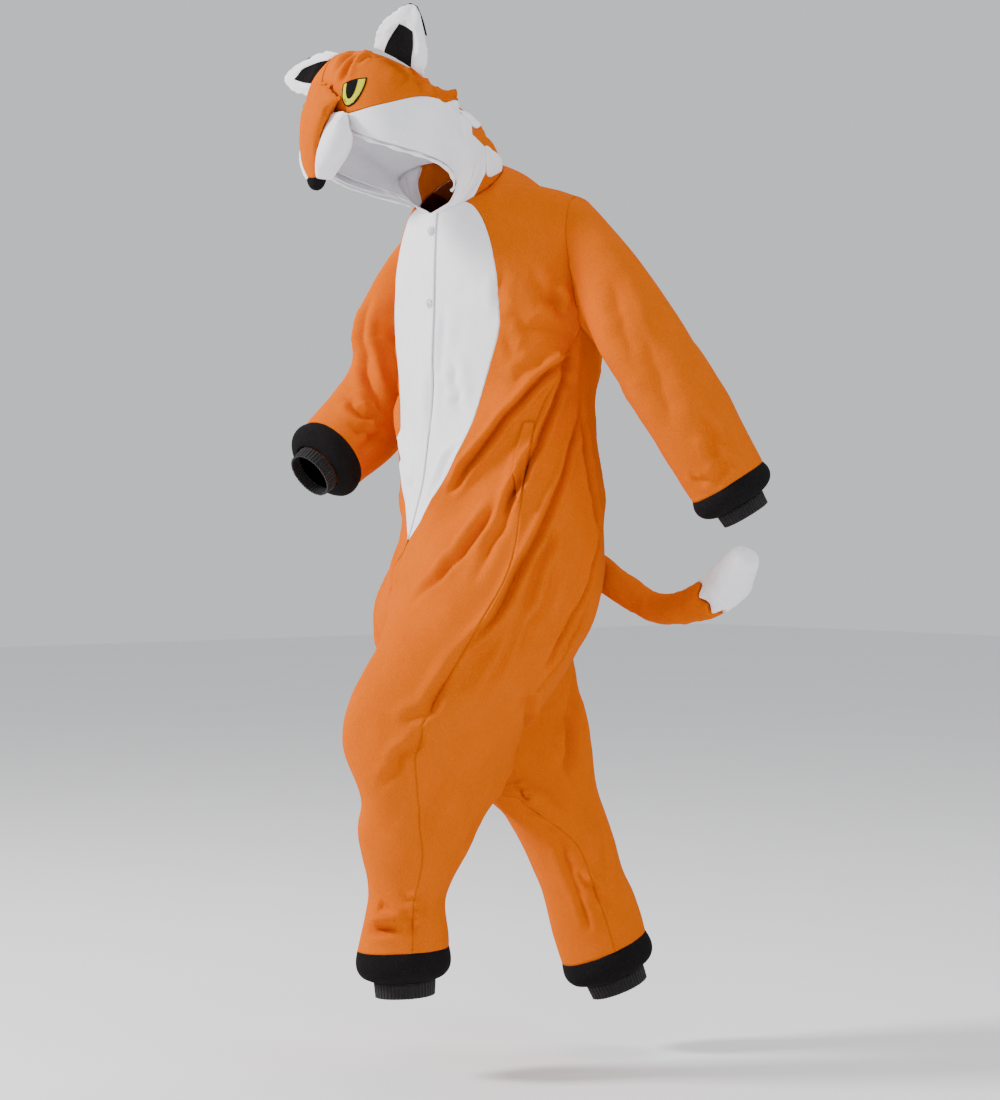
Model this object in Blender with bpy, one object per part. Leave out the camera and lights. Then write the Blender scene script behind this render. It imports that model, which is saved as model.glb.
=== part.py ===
"""Fox onesie, worn: a hollow fleece suit with a hood, muzzle, ears, sleeves, legs and a tail.

The frame's origin lies between the shoulders, where the wearer carries the suit.
The chest faces -Y, the wearer's left is +X and up is +Z. Units are metres.
"""
import math

import bmesh
import bpy
import numpy as np
from mathutils import Vector
from mathutils.bvhtree import BVHTree

# ---- driving dimensions ---------------------------------------------------
SHOULDER_HEIGHT = 1.46      # of the origin above the ground
FLEECE = 0.0020             # wall of the fleece
LINING = 0.0012             # wall of the hood's lining
SEAM_GAP = 0.0003           # between two pieces at a seam
CROWN_GAP = 0.0020          # the same round the crown's pieces
ARMPIT = 1.23               # heights above the ground
HIP = 0.86
CROTCH = 0.495
BELLY_FOOT = 0.885
STRIDE_TURN = -25.0         # degrees that the legs face away from the chest
FOOT_TILT = {1: 0.05, -1: 0.40}    # rise of the cuff towards the heel
FOOT_TOP = 0.34             # where a leg's rings are level again

NECK_CENTRE = (0.0, -0.084, 1.471)
NECK_HALF_WIDTH = 0.078
NECK_HALF_DEPTH = 0.066
NECK_RISE = 0.046           # of the nape above the neck's centre
SHOULDER_TIP = (0.198, -0.004, 1.447)
ARMHOLE_REACH = {"front": 0.030, "back": 0.050}

BELLY_COLUMNS = 4
SIDE_COLUMNS = 8
BACK_COLUMNS = 10
NECK_COLUMNS = 3            # of the front's side columns that end on the neckline
NAPE_COLUMNS = 5
YOKE_ROWS = 8
BELLY_TOP_ANGLE = 50.0      # where the belly panel's edge meets the neckline
LAP = 0.018                 # of the right belly panel over the left

# Body sections: forward and left place the centre; turn is the way it faces.
# Columns: height, forward, left, half depth, half width, turn.
BODY_ROWS = (
    (0.460, 0.020, 0.000, 0.170, 0.160, -25.0),
    (0.620, 0.035, 0.000, 0.195, 0.185, -25.0),
    (0.749, 0.030, 0.000, 0.202, 0.208, -25.0),
    (0.800, 0.014, 0.000, 0.190, 0.214, -24.0),
    (0.870, -0.002, 0.000, 0.169, 0.210, -21.0),
    (0.950, -0.004, 0.000, 0.157, 0.205, -16.0),
    (1.036, 0.003, 0.000, 0.146, 0.196, -10.0),
    (1.130, 0.010, 0.000, 0.144, 0.194, -3.0),
    (1.230, 0.004, 0.000, 0.152, 0.210, 0.0),
)
# Leg sections in the stride's own frame, which is turned by STRIDE_TURN.
# Columns: height, forward, out, half length, half width.
LEFT_LEG_ROWS = (
    (0.215, 0.188, 0.084, 0.077, 0.070),
    (0.240, 0.186, 0.084, 0.074, 0.068),
    (0.294, 0.184, 0.086, 0.064, 0.064),
    (0.376, 0.172, 0.092, 0.090, 0.080),
    (0.422, 0.180, 0.096, 0.103, 0.088),
    (0.486, 0.184, 0.101, 0.118, 0.098),
    (0.562, 0.196, 0.104, 0.150, 0.106),
    (0.631, 0.184, 0.105, 0.186, 0.110),
    (0.700, 0.146, 0.106, 0.216, 0.112),
    (0.800, 0.070, 0.108, 0.205, 0.114),
    (0.870, 0.000, 0.108, 0.166, 0.112),
)
RIGHT_LEG_ROWS = (
    (0.180, -0.206, 0.076, 0.074, 0.068),
    (0.240, -0.188, 0.078, 0.076, 0.068),
    (0.313, -0.160, 0.084, 0.080, 0.072),
    (0.394, -0.140, 0.090, 0.090, 0.082),
    (0.445, -0.134, 0.096, 0.097, 0.092),
    (0.554, -0.098, 0.102, 0.132, 0.102),
    (0.677, -0.064, 0.106, 0.168, 0.108),
    (0.800, -0.020, 0.108, 0.182, 0.112),
    (0.870, 0.000, 0.108, 0.166, 0.112),
)
BELLY_ROWS = (  # height, angle from the centre front to the belly panel's edge
    (0.885, 0.3),
    (0.915, 10.0),
    (0.977, 24.0),
    (1.078, 35.0),
    (1.140, 38.0),
    (1.230, 42.0),
)
# Sleeve sections along the arm: place, then half sizes up-down and front-back.
# Columns: along, x, y, height, half rise, half depth.
LEFT_SLEEVE_ROWS = (
    (0.00, 0.205, 0.000, 1.335, 0.105, 0.085),
    (0.22, 0.268, 0.020, 1.268, 0.074, 0.080),
    (0.52, 0.334, 0.072, 1.145, 0.068, 0.078),
    (0.80, 0.370, 0.122, 1.042, 0.065, 0.076),
    (1.00, 0.390, 0.153, 0.980, 0.064, 0.072),
)
RIGHT_SLEEVE_ROWS = (
    (0.00, -0.205, 0.000, 1.335, 0.105, 0.085),
    (0.25, -0.274, -0.010, 1.258, 0.072, 0.080),
    (0.55, -0.286, -0.012, 1.160, 0.068, 0.080),
    (0.80, -0.280, -0.078, 1.082, 0.068, 0.078),
    (1.00, -0.277, -0.146, 1.030, 0.066, 0.070),
)
SLEEVE_ROWS = 14
SLEEVE_EASING = 8           # times that the sections' turn at the elbow is spread out
# Puffed band and rib at the end of a sleeve or leg: share of the way, share of the size.
WRIST_BAND = ((0.0, 1.00), (0.012, 1.08), (0.026, 1.05), (0.036, 0.90), (0.040, 0.66))
WRIST_RIB = ((0.0412, 0.63), (0.062, 0.60))
ANKLE_BAND = ((0.0, 1.00), (0.016, 1.05), (0.032, 1.04), (0.046, 0.92), (0.052, 0.69))
ANKLE_RIB = ((0.0532, 0.66), (0.078, 0.63))
RIB_COUNT = 20
RIB_RELIEF = 0.0012

# Hood: arcs that stand on the neckline and fan from the face edge to the nape.
HOOD_PITCH = 40.0
HOOD_ROLL = 10.0
# Columns: arc, forward, up, half width, sweep back.
HOOD_ROWS = (
    (0.0, 0.106, 0.206, 0.118, 0.030),
    (1.5, 0.114, 0.262, 0.127, 0.034),
    (3.0, 0.080, 0.302, 0.130, 0.030),
    (4.5, 0.036, 0.312, 0.134, 0.022),
    (6.0, 0.000, 0.294, 0.122, 0.012),
    (7.5, -0.032, 0.246, 0.098, 0.006),
    (9.0, -0.056, 0.172, 0.074, 0.000),
    (10.5, -0.070, 0.082, 0.050, 0.000),
    (12.0, -0.0812, -0.0055, 0.020, 0.000),
)
HOOD_STEPS = 12             # rows from the neck to the crown's top on each side
CHEEK_COLUMNS = 5
CROWN_CROWDING = 0.5        # how much closer the crown's columns stand towards the face
# Rear edge of the white cheek: share of the way up the arc, and the arc it reaches.
CHEEK_EDGE = (
    (0.000, 5.0),
    (0.083, 6.4),
    (0.167, 7.8),
    (0.250, 6.5),
    (0.333, 8.4),
    (0.417, 6.6),
    (0.500, 4.3),
    (0.583, 2.8),
    (0.667, 2.1),
    (0.750, 1.5),
    (0.833, 1.1),
    (0.917, 0.8),
    (1.000, 0.6),
)
HEM_RADIUS = 0.0035
HEM_SIDES = 6
HEM_CLEAR = 0.0022
HEM_SPREAD = 0.003          # further clearance near the neck
HEM_START = 0.18            # rise at which the hem leaves the neck
LINING_SET = 0.0080         # of the lining inside the hood's outside
LINING_START = 2            # row of the hood that it begins at
LINING_ARCS = (0.7, 1.6, 3.0, 4.5, 6.0, 7.5, 9.0, 10.4)

# Side seam: height and the girth that it runs at.
SIDE_SEAM = (
    (0.180, 0.50),
    (0.560, 0.49),
    (0.700, 0.46),
    (0.800, 0.43),
    (0.950, 0.39),
    (1.090, 0.40),
    (1.230, 0.50),
)
POCKET = (0.945, 1.080)     # heights of the pocket's two ends
POCKET_WIDTH = 0.022        # of its edge
POCKET_OUTLINE = ((0.0, 0.15), (0.3, 0.75), (0.6, 1.0), (1.0, 0.8))
POCKET_WALL = 0.0015
POCKET_CLEAR = 0.0016       # of the pocket's edge over the panel
RIM_SPLIT = np.array((0.31, 0.57, 0.76))    # picks the same diagonal on both sides of a seam
# Deep folds: raised (or sunken) from one height and girth to another.
# Columns: side, height, girth, end height, end girth, depth, width.
FOLDS = (
    (1, 1.130, 0.30, 0.930, 0.08, 0.012, 0.026),
    (1, 1.050, 0.34, 0.900, 0.16, -0.009, 0.026),
    (1, 1.190, 0.44, 1.080, 0.26, 0.008, 0.026),
    (1, 0.880, 0.42, 0.730, 0.18, 0.010, 0.030),
    (1, 0.820, 0.32, 0.640, 0.12, -0.009, 0.028),
    (1, 0.690, 0.60, 0.470, 0.40, 0.010, 0.028),
    (1, 0.600, 0.66, 0.430, 0.50, -0.008, 0.026),
    (1, 0.430, 0.15, 0.360, 0.55, 0.009, 0.024),
    (1, 0.330, 0.10, 0.290, 0.50, -0.007, 0.020),
    (1, 1.120, 0.62, 0.940, 0.86, 0.009, 0.028),
    (1, 0.760, 0.64, 0.660, 0.90, -0.010, 0.028),
    (-1, 1.110, 0.28, 0.960, 0.12, 0.008, 0.026),
    (-1, 1.020, 0.40, 0.860, 0.20, -0.008, 0.026),
    (-1, 0.860, 0.44, 0.690, 0.16, 0.010, 0.030),
    (-1, 0.740, 0.22, 0.600, 0.40, -0.009, 0.028),
    (-1, 0.650, 0.70, 0.480, 0.45, 0.010, 0.028),
    (-1, 0.420, 0.30, 0.340, 0.70, 0.009, 0.024),
    (-1, 0.290, 0.20, 0.250, 0.60, -0.007, 0.020),
    (-1, 1.150, 0.66, 0.980, 0.90, -0.008, 0.028),
    (-1, 0.780, 0.60, 0.650, 0.88, 0.010, 0.030),
)
GIRTH_LENGTH = 0.62         # of half the suit's girth, for the folds' widths
LAID_ON = 0.0006            # clearance of a piece that lies on a panel

# Muzzle, in the hood's frame: share of the way, forward, up, half height, half width.
# Columns: share, forward, up, half height, half width.
MUZZLE_ROWS = (
    (0.00, 0.104, 0.256, 0.030, 0.048),
    (0.30, 0.143, 0.241, 0.029, 0.047),
    (0.60, 0.176, 0.216, 0.028, 0.043),
    (0.85, 0.203, 0.192, 0.024, 0.034),
    (1.00, 0.214, 0.178, 0.018, 0.023),
)
MUZZLE_FOOT = {"arc": 1.55, "arc_reach": 1.05, "rise_reach": 0.16}
MUZZLE_SEAT = 0.0030        # of its back over the hood
MUZZLE_RINGS = (0.35, 0.70)     # share of the footprint's size
MUZZLE_UNDER = ((0.0, 0.1), (0.15, 0.1), (0.45, 0.95), (1.0, 1.0))    # share of height below
MUZZLE_STATIONS = 6
MUZZLE_START = 0.27         # of the first station ahead of the hood
MUZZLE_SEAM = ((0.0, 80.0), (0.25, 70.0), (0.6, 46.0), (1.0, 36.0))    # bridge's half angle
MUZZLE_SECTORS = {          # which side of the seam, cells across, puff, finish
    "bridge": (0, 7, 0.001, "orange_fleece"),
    "muzzle_left": (1, 9, 0.013, "white_fleece"),
    "muzzle_right": (-1, 9, 0.013, "white_fleece"),
}
MUZZLE_PARTING = 3.0        # degrees more where the two pads meet underneath
MUZZLE_MARGIN = 1.2         # degrees from a wedge's side to the seam
MUZZLE_CORE = 0.0012        # of the wedges' inner edges from the muzzle's axis
NOSE_CLEAR = 0.0012
NOSE_LENGTH = 0.018
NOSE_HALF_HEIGHT = 0.016
NOSE_HALF_WIDTH = 0.019
NOSE_TURNS = (0.0, 22.0, 45.0, 66.0)
NOSE_SIDES = 10

# Ears: where the base starts and ends on the crown (arc, rise), and the way they stand.
EAR_BASE = {1: ((5.7, 0.80), (6.3, 0.55)), -1: ((5.8, 0.91), (4.4, 0.67))}
EAR_WAY = {1: (-0.55, 0.60, 0.57), -1: (0.02, 0.28, 0.96)}  # forward, up, out
EAR_FACING = (0.4, -1.0, 0.0)
EAR_LENGTH = {1: 0.093, -1: 0.100}
EAR_WIDTH = ((0.0, 1.0), (0.2, 1.02), (0.45, 0.90), (0.7, 0.64), (0.88, 0.38), (1.0, 0.12))
EAR_SPREAD = 0.049          # half width of an ear at its base
EAR_CUP = 0.012             # how far the middle is set back
EAR_PAD = 0.009             # stuffing of the white front
EAR_SEAT = 0.0030           # of the ear over the crown
EAR_ROWS = 8
EAR_TIP_ROW = 5             # where the black back begins
EAR_INNER_CLEAR = 0.0011
EAR_INNER_WALL = 0.0012
EAR_HALF_COLUMNS = 4

# Eyes on the crown: (arc, rise) of the top's middle, then the way down and the way out.
EYE = {"top": (3.15, 0.765), "down": (-1.50, 0.020), "out": (0.30, -0.055)}
EYE_OUTLINE = ((0.0, 1.0), (0.35, 1.0), (0.65, 0.89), (0.85, 0.69), (1.0, 0.40))
EYE_LAYERS = (  # name, start and end of the way down, share of the width, lift, finish
    ("eye_patch", 0.0, 1.0, 1.0, 0.0023, "black_fleece"),
    ("eye_ring", 0.05, 0.90, 0.80, 0.0042, "yellow_felt"),
    ("eye_pupil", 0.05, 0.58, 0.28, 0.0057, "black_fleece"),
)
EYE_WALL = 0.0008
EYE_CELLS = 4
EYE_DROP = 0.02             # height from which a layer is lowered on to the crown

# Tail: centre line from the seat to the tip, and its radius.
# Columns: share, x, y, height, radius.
TAIL_ROWS = (
    (0.00, 0.066, 0.159, 0.838, 0.034),
    (0.14, 0.112, 0.190, 0.795, 0.031),
    (0.32, 0.168, 0.204, 0.768, 0.029),
    (0.52, 0.242, 0.211, 0.774, 0.033),
    (0.70, 0.299, 0.216, 0.795, 0.040),
    (0.86, 0.341, 0.219, 0.829, 0.040),
    (1.00, 0.372, 0.217, 0.862, 0.026),
)
TAIL_START = 0.13           # share of the way of the first ring past the seat
TAIL_SIDES = 12
TAIL_STATIONS = 12
TAIL_TIP_FROM = 8           # station where the white tip begins
TAIL_ZIGZAG = 0.012         # reach of the tip's points
TAIL_FOOT = {"height": 0.835, "rise": 0.036, "girth": 0.058}
TAIL_HOLLOW = 0.006

SNAPS = (1.395, 1.275)      # heights of the two snaps on the belly's lap
SNAP_RADIUS = 0.0065
SNAP_PROFILE = ((0.0006, 1.0), (0.0018, 1.0), (0.0026, 0.70))   # height, share of the radius
SNAP_DISH = 0.0018          # height of its hollow middle
SNAP_SIDES = 12
SNAP_INSET = 0.009          # of the snap's middle from the lap's edge
LAP_RAISE = 0.0026          # of the lap over the panel under it
LAP_END = 0.15              # share of the last row that the lap stops short of the neck


def lookup(rows, where):
    """Read a table between its rows with smooth cubic steps; the first column is the key."""
    table = np.array(rows, float)
    keys = table[:, 0]
    slopes = np.gradient(table, keys, axis=0)
    where = np.clip(where, keys[0], keys[-1])
    low = min(max(int(np.searchsorted(keys, where)) - 1, 0), len(keys) - 2)
    span = keys[low + 1] - keys[low]
    t = (where - keys[low]) / span
    value = (2 * t**3 - 3 * t**2 + 1) * table[low]
    value += (t**3 - 2 * t**2 + t) * span * slopes[low]
    value += (3 * t**2 - 2 * t**3) * table[low + 1]
    value += (t**3 - t**2) * span * slopes[low + 1]
    return value[1:]


def straight(rows, where):
    """Read a two-column table between its rows with straight steps."""
    table = np.array(rows, float)
    return float(np.interp(where, table[:, 0], table[:, 1]))


def smooth(low, high, value):
    """Rise from 0 at low to 1 at high without a corner."""
    t = min(max((value - low) / (high - low), 0.0), 1.0)
    return t * t * (3.0 - 2.0 * t)


def turned(forward, left, degrees):
    """Place a forward and left distance in a frame turned about the vertical."""
    a = math.radians(degrees)
    x = left * math.cos(a) + forward * math.sin(a)
    y = left * math.sin(a) - forward * math.cos(a)
    return x, y


# ---- body and legs --------------------------------------------------------
def body_ring(height, angle):
    """A point of the trunk's section; the angle runs from the centre front to the left."""
    forward, left, half_depth, half_width, turn = lookup(BODY_ROWS, height)
    a = math.radians(angle)
    x, y = turned(forward + half_depth * math.cos(a), left + half_width * math.sin(a), turn)
    return np.array((x, y, height))


def leg_row(side, height):
    """Forward, out, half length and half width of a leg's section."""
    rows = LEFT_LEG_ROWS if side == 1 else RIGHT_LEG_ROWS
    return lookup(rows, height)


def leg_ring(side, height, girth):
    """A point of the leg's section; the girth runs from the inseam round the front."""
    forward, out, half_length, half_width = leg_row(side, height)
    a = 2.0 * math.pi * girth
    reach = forward + half_length * math.sin(a)
    aside = side * (out - half_width * math.cos(a))
    middle = sum(leg_row(s, height)[0] for s in (1, -1)) / 2.0
    inner = side * (out - half_width)
    hold = smooth(CROTCH - 0.14, CROTCH, height) * ((1.0 + math.cos(a)) / 2.0) ** 2
    reach += hold * (middle - forward)
    aside -= hold * inner
    tilt = FOOT_TILT[side] * smooth(FOOT_TOP, FOOT_TOP - 0.12, height)
    x, y = turned(reach, aside, STRIDE_TURN)
    return np.array((x, y, height - tilt * half_length * math.sin(a)))


def fold_depth(side, height, girth):
    """How far the folds raise the cloth at a place; it fades towards the centre lines."""
    total = 0.0
    for fold_side, start_height, start_girth, end_height, end_girth, depth, width in FOLDS:
        if fold_side != side:
            continue
        start = np.array((start_height, start_girth * GIRTH_LENGTH))
        run = np.array((end_height, end_girth * GIRTH_LENGTH)) - start
        place = np.array((height, girth * GIRTH_LENGTH)) - start
        share = place.dot(run) / run.dot(run)
        near = place - run * min(max(share, 0.0), 1.0)
        fade = smooth(-0.25, 0.15, share) * smooth(1.25, 0.85, share)
        total += depth * fade * math.exp(-near.dot(near) / width**2)
    return total * smooth(0.0, 0.07, min(girth, 1.0 - girth)) * smooth(ARMPIT, ARMPIT - 0.06, height)


def body_point(side, height, girth):
    """A point of one half of the suit from the armpit down to the ankle."""
    leg = smooth(HIP, CROTCH, height)
    point = leg * leg_ring(side, height, girth)
    centre = leg * (leg_ring(side, height, 0.25) + leg_ring(side, height, 0.75)) / 2.0
    if leg < 1.0:
        point = point + (1.0 - leg) * body_ring(height, side * 180.0 * girth)
        centre = centre + (1.0 - leg) * (body_ring(height, 0.0) + body_ring(height, 180.0)) / 2.0
    outward = (point - centre) * (1.0, 1.0, 0.0)
    outward /= np.linalg.norm(outward)
    return point + outward * fold_depth(side, height, girth)


def neck_point(angle):
    """A point of the neckline; the angle runs from the centre front to the left."""
    a = math.radians(angle)
    x = NECK_HALF_WIDTH * math.sin(a)
    y = NECK_CENTRE[1] - NECK_HALF_DEPTH * math.cos(a)
    z = NECK_CENTRE[2] - NECK_RISE * math.cos(a)
    return np.array((x, y, z))


def shoulder_point(side, share):
    """A point of the shoulder seam from the neck to the shoulder's tip."""
    start = neck_point(side * 90.0)
    end = np.array(SHOULDER_TIP) * (side, 1.0, 1.0)
    point = start + (end - start) * share
    point[2] += 0.010 * math.sin(math.pi * share)
    return point


def yoke_point(side, rise, girth, top, face):
    """A point above the armpit: rise runs from 0 there to 1 at the neck and shoulder."""
    base = body_ring(ARMPIT, side * 180.0 * girth)
    a = 0.5 * math.pi * rise
    point = base + (top - base) * np.array((1.0 - math.cos(a), 1.0 - math.cos(a), math.sin(a)))
    near_arm = (1.0 - abs(girth - 0.5) * 2.0) ** 4
    sign = -1.0 if face == "front" else 1.0
    point[1] += sign * ARMHOLE_REACH[face] * math.sin(2.0 * a) * near_arm
    return point


def belly_angle(height):
    """The angle from the centre front to the belly panel's edge."""
    return straight(BELLY_ROWS, height)


BODY_HEIGHTS = {
    1: (0.215, 0.240, 0.270, 0.300, 0.338, 0.376, 0.416, 0.450),
    -1: (0.180, 0.215, 0.250, 0.290, 0.330, 0.370, 0.410, 0.445),
}
SHARED_HEIGHTS = (0.470, CROTCH, 0.535, 0.570, 0.605, 0.640, 0.675, 0.710, 0.745, 0.780,
                  0.815, 0.850, 0.885, 0.915, 0.945, 0.977, 1.010, 1.044, 1.078, 1.109,
                  1.140, 1.185, 1.230)


def side_girth(height):
    """The girth of the side seam at a height."""
    return straight(SIDE_SEAM, height)


def body_heights(side):
    """Every height at which one half of the body has a row of points."""
    return BODY_HEIGHTS[side] + SHARED_HEIGHTS


def front_grids(side):
    """Rows of the front panel and of the belly panel, from the bottom to the neck."""
    front = []
    belly = []
    for height in body_heights(side):
        edge = belly_angle(height) / 180.0 if height >= BELLY_FOOT else 0.0
        girths = np.linspace(edge, side_girth(height), SIDE_COLUMNS + 1)
        front.append([body_point(side, height, g) for g in girths])
        if height >= BELLY_FOOT:
            belly.append([body_point(side, height, g)
                          for g in np.linspace(0.0, edge, BELLY_COLUMNS + 1)])
    edge = belly_angle(ARMPIT) / 180.0
    neck = [BELLY_TOP_ANGLE * i / BELLY_COLUMNS for i in range(BELLY_COLUMNS + 1)]
    belly_top = [neck_point(side * a) for a in neck]
    step = (90.0 - BELLY_TOP_ANGLE) / NECK_COLUMNS
    front_top = [neck_point(side * (BELLY_TOP_ANGLE + step * i)) for i in range(NECK_COLUMNS)]
    seam = SIDE_COLUMNS - NECK_COLUMNS
    front_top += [shoulder_point(side, i / seam) for i in range(seam + 1)]
    for row in range(1, YOKE_ROWS + 1):
        rise = row / YOKE_ROWS
        girths = np.linspace(edge, 0.5, SIDE_COLUMNS + 1)
        front.append([yoke_point(side, rise, g, t, "front") for g, t in zip(girths, front_top)])
        girths = np.linspace(0.0, edge, BELLY_COLUMNS + 1)
        belly.append([yoke_point(side, rise, g, t, "front") for g, t in zip(girths, belly_top)])
    return np.array(front), np.array(belly)


def with_lap(belly):
    """The right belly panel with a column added past the centre front."""
    half_width = lookup(BODY_ROWS, ARMPIT)[3]
    column = []
    heights = [h for h in SHARED_HEIGHTS if h >= BELLY_FOOT]
    for height in heights:
        width = LAP * smooth(BELLY_FOOT - 0.01, BELLY_FOOT + 0.09, height)
        column.append(body_point(1, height, width / half_width / math.pi))
    girth = LAP / half_width / math.pi
    top = neck_point(math.degrees(LAP / NECK_HALF_WIDTH))
    for row in range(1, YOKE_ROWS + 1):
        column.append(yoke_point(1, row / YOKE_ROWS, girth, top, "front"))
    grid = np.concatenate((np.array(column)[:, None], belly), axis=1)
    grid[-1, :2] += (grid[-2, :2] - grid[-1, :2]) * LAP_END
    return grid


def back_grid(side):
    """Rows of the back panel from the ankle to the neck; columns run to the centre back."""
    rows = []
    for height in body_heights(side):
        girths = np.linspace(side_girth(height), 1.0, BACK_COLUMNS + 1)
        rows.append([body_point(side, height, g) for g in girths])
    girths = np.linspace(0.5, 1.0, BACK_COLUMNS + 1)
    seam = BACK_COLUMNS - NAPE_COLUMNS
    top = [shoulder_point(side, 1.0 - i / seam) for i in range(seam)]
    top += [neck_point(side * (90.0 + 90.0 * i / NAPE_COLUMNS)) for i in range(NAPE_COLUMNS + 1)]
    for row in range(1, YOKE_ROWS + 1):
        rise = row / YOKE_ROWS
        rows.append([yoke_point(side, rise, g, t, "back") for g, t in zip(girths, top)])
    return np.array(rows)


# ---- sleeves --------------------------------------------------------------
def sleeve_frames(rows, count):
    """Centre, front and outer directions along a sleeve, carried without twist."""
    shares = np.linspace(0.0, 1.0, count + 1)
    table = np.array([lookup(rows, s) for s in shares])
    centres = table[:, :3]
    ways = np.gradient(centres, axis=0)
    ways /= np.linalg.norm(ways, axis=1)[:, None]
    for _ in range(SLEEVE_EASING):
        ways[1:-1] = 0.25 * ways[:-2] + 0.5 * ways[1:-1] + 0.25 * ways[2:]
        ways /= np.linalg.norm(ways, axis=1)[:, None]
    front = np.array((0.0, -1.0, 0.0))
    frames = []
    for centre, way, sizes in zip(centres, ways, table[:, 3:]):
        front = front - way * front.dot(way)
        front = front / np.linalg.norm(front)
        outer = np.cross(front, way)
        frames.append((centre, way, front, outer, sizes))
    return frames


def sleeve_grid(side, armhole):
    """Rings of the sleeve from the armhole loop to the wrist."""
    rows = LEFT_SLEEVE_ROWS if side == 1 else RIGHT_SLEEVE_ROWS
    frames = sleeve_frames(rows, SLEEVE_ROWS)
    count = len(armhole)
    rings = []
    start = frames[0][0]
    for index, (centre, _, front, outer, sizes) in enumerate(frames):
        keep = 1.0 - smooth(0.0, 0.36, index / SLEEVE_ROWS)
        if outer[2] < 0.0:
            outer = -outer
        ring = []
        for j in range(count):
            a = 2.0 * math.pi * j / count
            round_point = centre - outer * sizes[0] * math.cos(a) + front * sizes[1] * math.sin(a)
            from_hole = armhole[j] + (centre - start)
            ring.append(keep * from_hole + (1.0 - keep) * round_point)
        rings.append(ring)
    return np.array(rings)


def end_rings(ring, way, profile):
    """Rings that carry on from a tube's last ring: distance along, share of its size."""
    centre = ring.mean(axis=0)
    return np.array([centre + way * along + (ring - centre) * share for along, share in profile])


def ring_way(ring, towards):
    """The direction square to a ring, on the side of a given direction."""
    arms = ring - ring.mean(axis=0)
    way = np.cross(arms, np.roll(arms, -1, axis=0)).sum(axis=0)
    way /= np.linalg.norm(way)
    return way if way.dot(towards) > 0.0 else -way


def rib_cloth(name, ring, way, profile, flip):
    """A knitted cuff whose raised ribs run along it."""
    rings = end_rings(resampled(ring, 2 * RIB_COUNT), way, profile)
    cloth = Cloth(name, rings, "black_rib", closed=True, flip=flip)
    cloth.relief[:, ::2] = RIB_RELIEF
    return cloth


def pocket_cloth(side, front):
    """The pocket's edge, laid on the front panel along the side seam."""
    heights = body_heights(side)
    rows = [i for i, h in enumerate(heights) if POCKET[0] <= h <= POCKET[1]]
    grid = []
    for row in rows:
        share = (heights[row] - POCKET[0]) / (POCKET[1] - POCKET[0])
        width = POCKET_WIDTH * straight(POCKET_OUTLINE, share)
        start, end = front[row, -2], front[row, -1]
        size = float(np.linalg.norm(end - start))
        grid.append([end + (start - end) * reach / size for reach in (width + 0.002, 0.002)])
    cloth = Cloth(f"pocket_{SIDES[side]}", np.array(grid), "orange_fleece", flip=side == -1)
    cloth.wall = POCKET_WALL
    cloth.lift += POCKET_WALL + POCKET_CLEAR
    return cloth


def resampled(ring, count):
    """The same closed ring with evenly spaced points."""
    closed = np.vstack((ring, ring[:1]))
    steps = np.linalg.norm(np.diff(closed, axis=0), axis=1)
    along = np.concatenate(([0.0], np.cumsum(steps)))
    wanted = np.linspace(0.0, along[-1], count, endpoint=False)
    return np.array([np.interp(wanted, along, closed[:, i]) for i in range(3)]).T


# ---- hood -----------------------------------------------------------------
def hood_axes():
    """Forward, up and left of the hood's own frame."""
    pitch = math.radians(HOOD_PITCH)
    roll = math.radians(HOOD_ROLL)
    forward = np.array((0.0, -math.cos(pitch), -math.sin(pitch)))
    up = np.array((0.0, -math.sin(pitch), math.cos(pitch)))
    left = np.array((1.0, 0.0, 0.0))
    left, up = math.cos(roll) * left + math.sin(roll) * up, math.cos(roll) * up - math.sin(roll) * left
    return forward, up, left


def hood_place(forward, up, left):
    """A point given in the hood's frame, from the centre of the neckline."""
    f, u, l = hood_axes()
    return np.array(NECK_CENTRE) + f * forward + u * up + l * left


def neckline_angles():
    """Angles of the neckline's points from the centre front to the centre back."""
    step = (90.0 - BELLY_TOP_ANGLE) / NECK_COLUMNS
    angles = [BELLY_TOP_ANGLE * i / BELLY_COLUMNS for i in range(BELLY_COLUMNS)]
    angles += [BELLY_TOP_ANGLE + step * i for i in range(NECK_COLUMNS)]
    angles += [90.0 + 90.0 * i / NAPE_COLUMNS for i in range(NAPE_COLUMNS + 1)]
    return angles


def hood_point(side, arc, rise, inset=0.0):
    """A point of the hood: arc 0 is the face edge, rise runs from the neck to the top."""
    angles = neckline_angles()
    angle = float(np.interp(arc, range(len(angles)), angles))
    feet = [neck_point(s * angle) for s in (side, -side)]
    middle = (feet[0] + feet[1]) / 2.0
    foot = feet[0] - middle
    forward, up, half_width, sweep = lookup(HOOD_ROWS, arc)
    apex = hood_place(forward, up, 0.0)
    half_width -= inset
    height = apex - middle
    tall = max(float(np.linalg.norm(height)), 1e-6)
    height = height * (tall - inset) / tall
    narrow = float(np.linalg.norm(foot))
    half_width = max(half_width, narrow * 1.02)
    start = math.acos(min(narrow / half_width, 1.0))
    a = -start + (0.5 * math.pi + start) * rise
    lift = (math.sin(a) + math.sin(start)) / (1.0 + math.sin(start))
    across = half_width * math.cos(a)
    axis = hood_axes()[2] * side
    tilt = smooth(0.0, 0.4, rise)
    foot_way = foot / max(narrow, 1e-6)
    if narrow < 1e-5:
        foot_way = np.array((float(side), 0.0, 0.0))
    way = foot_way * (1.0 - tilt) + axis * tilt
    wave = math.sin(2.0 * math.pi * rise)
    if wave < 0.0:
        wave *= 1.0 - 0.5 * min(arc / 1.5, 1.0)
    back = hood_axes()[0] * -sweep * wave
    return middle + height * lift + way * across + back


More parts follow.
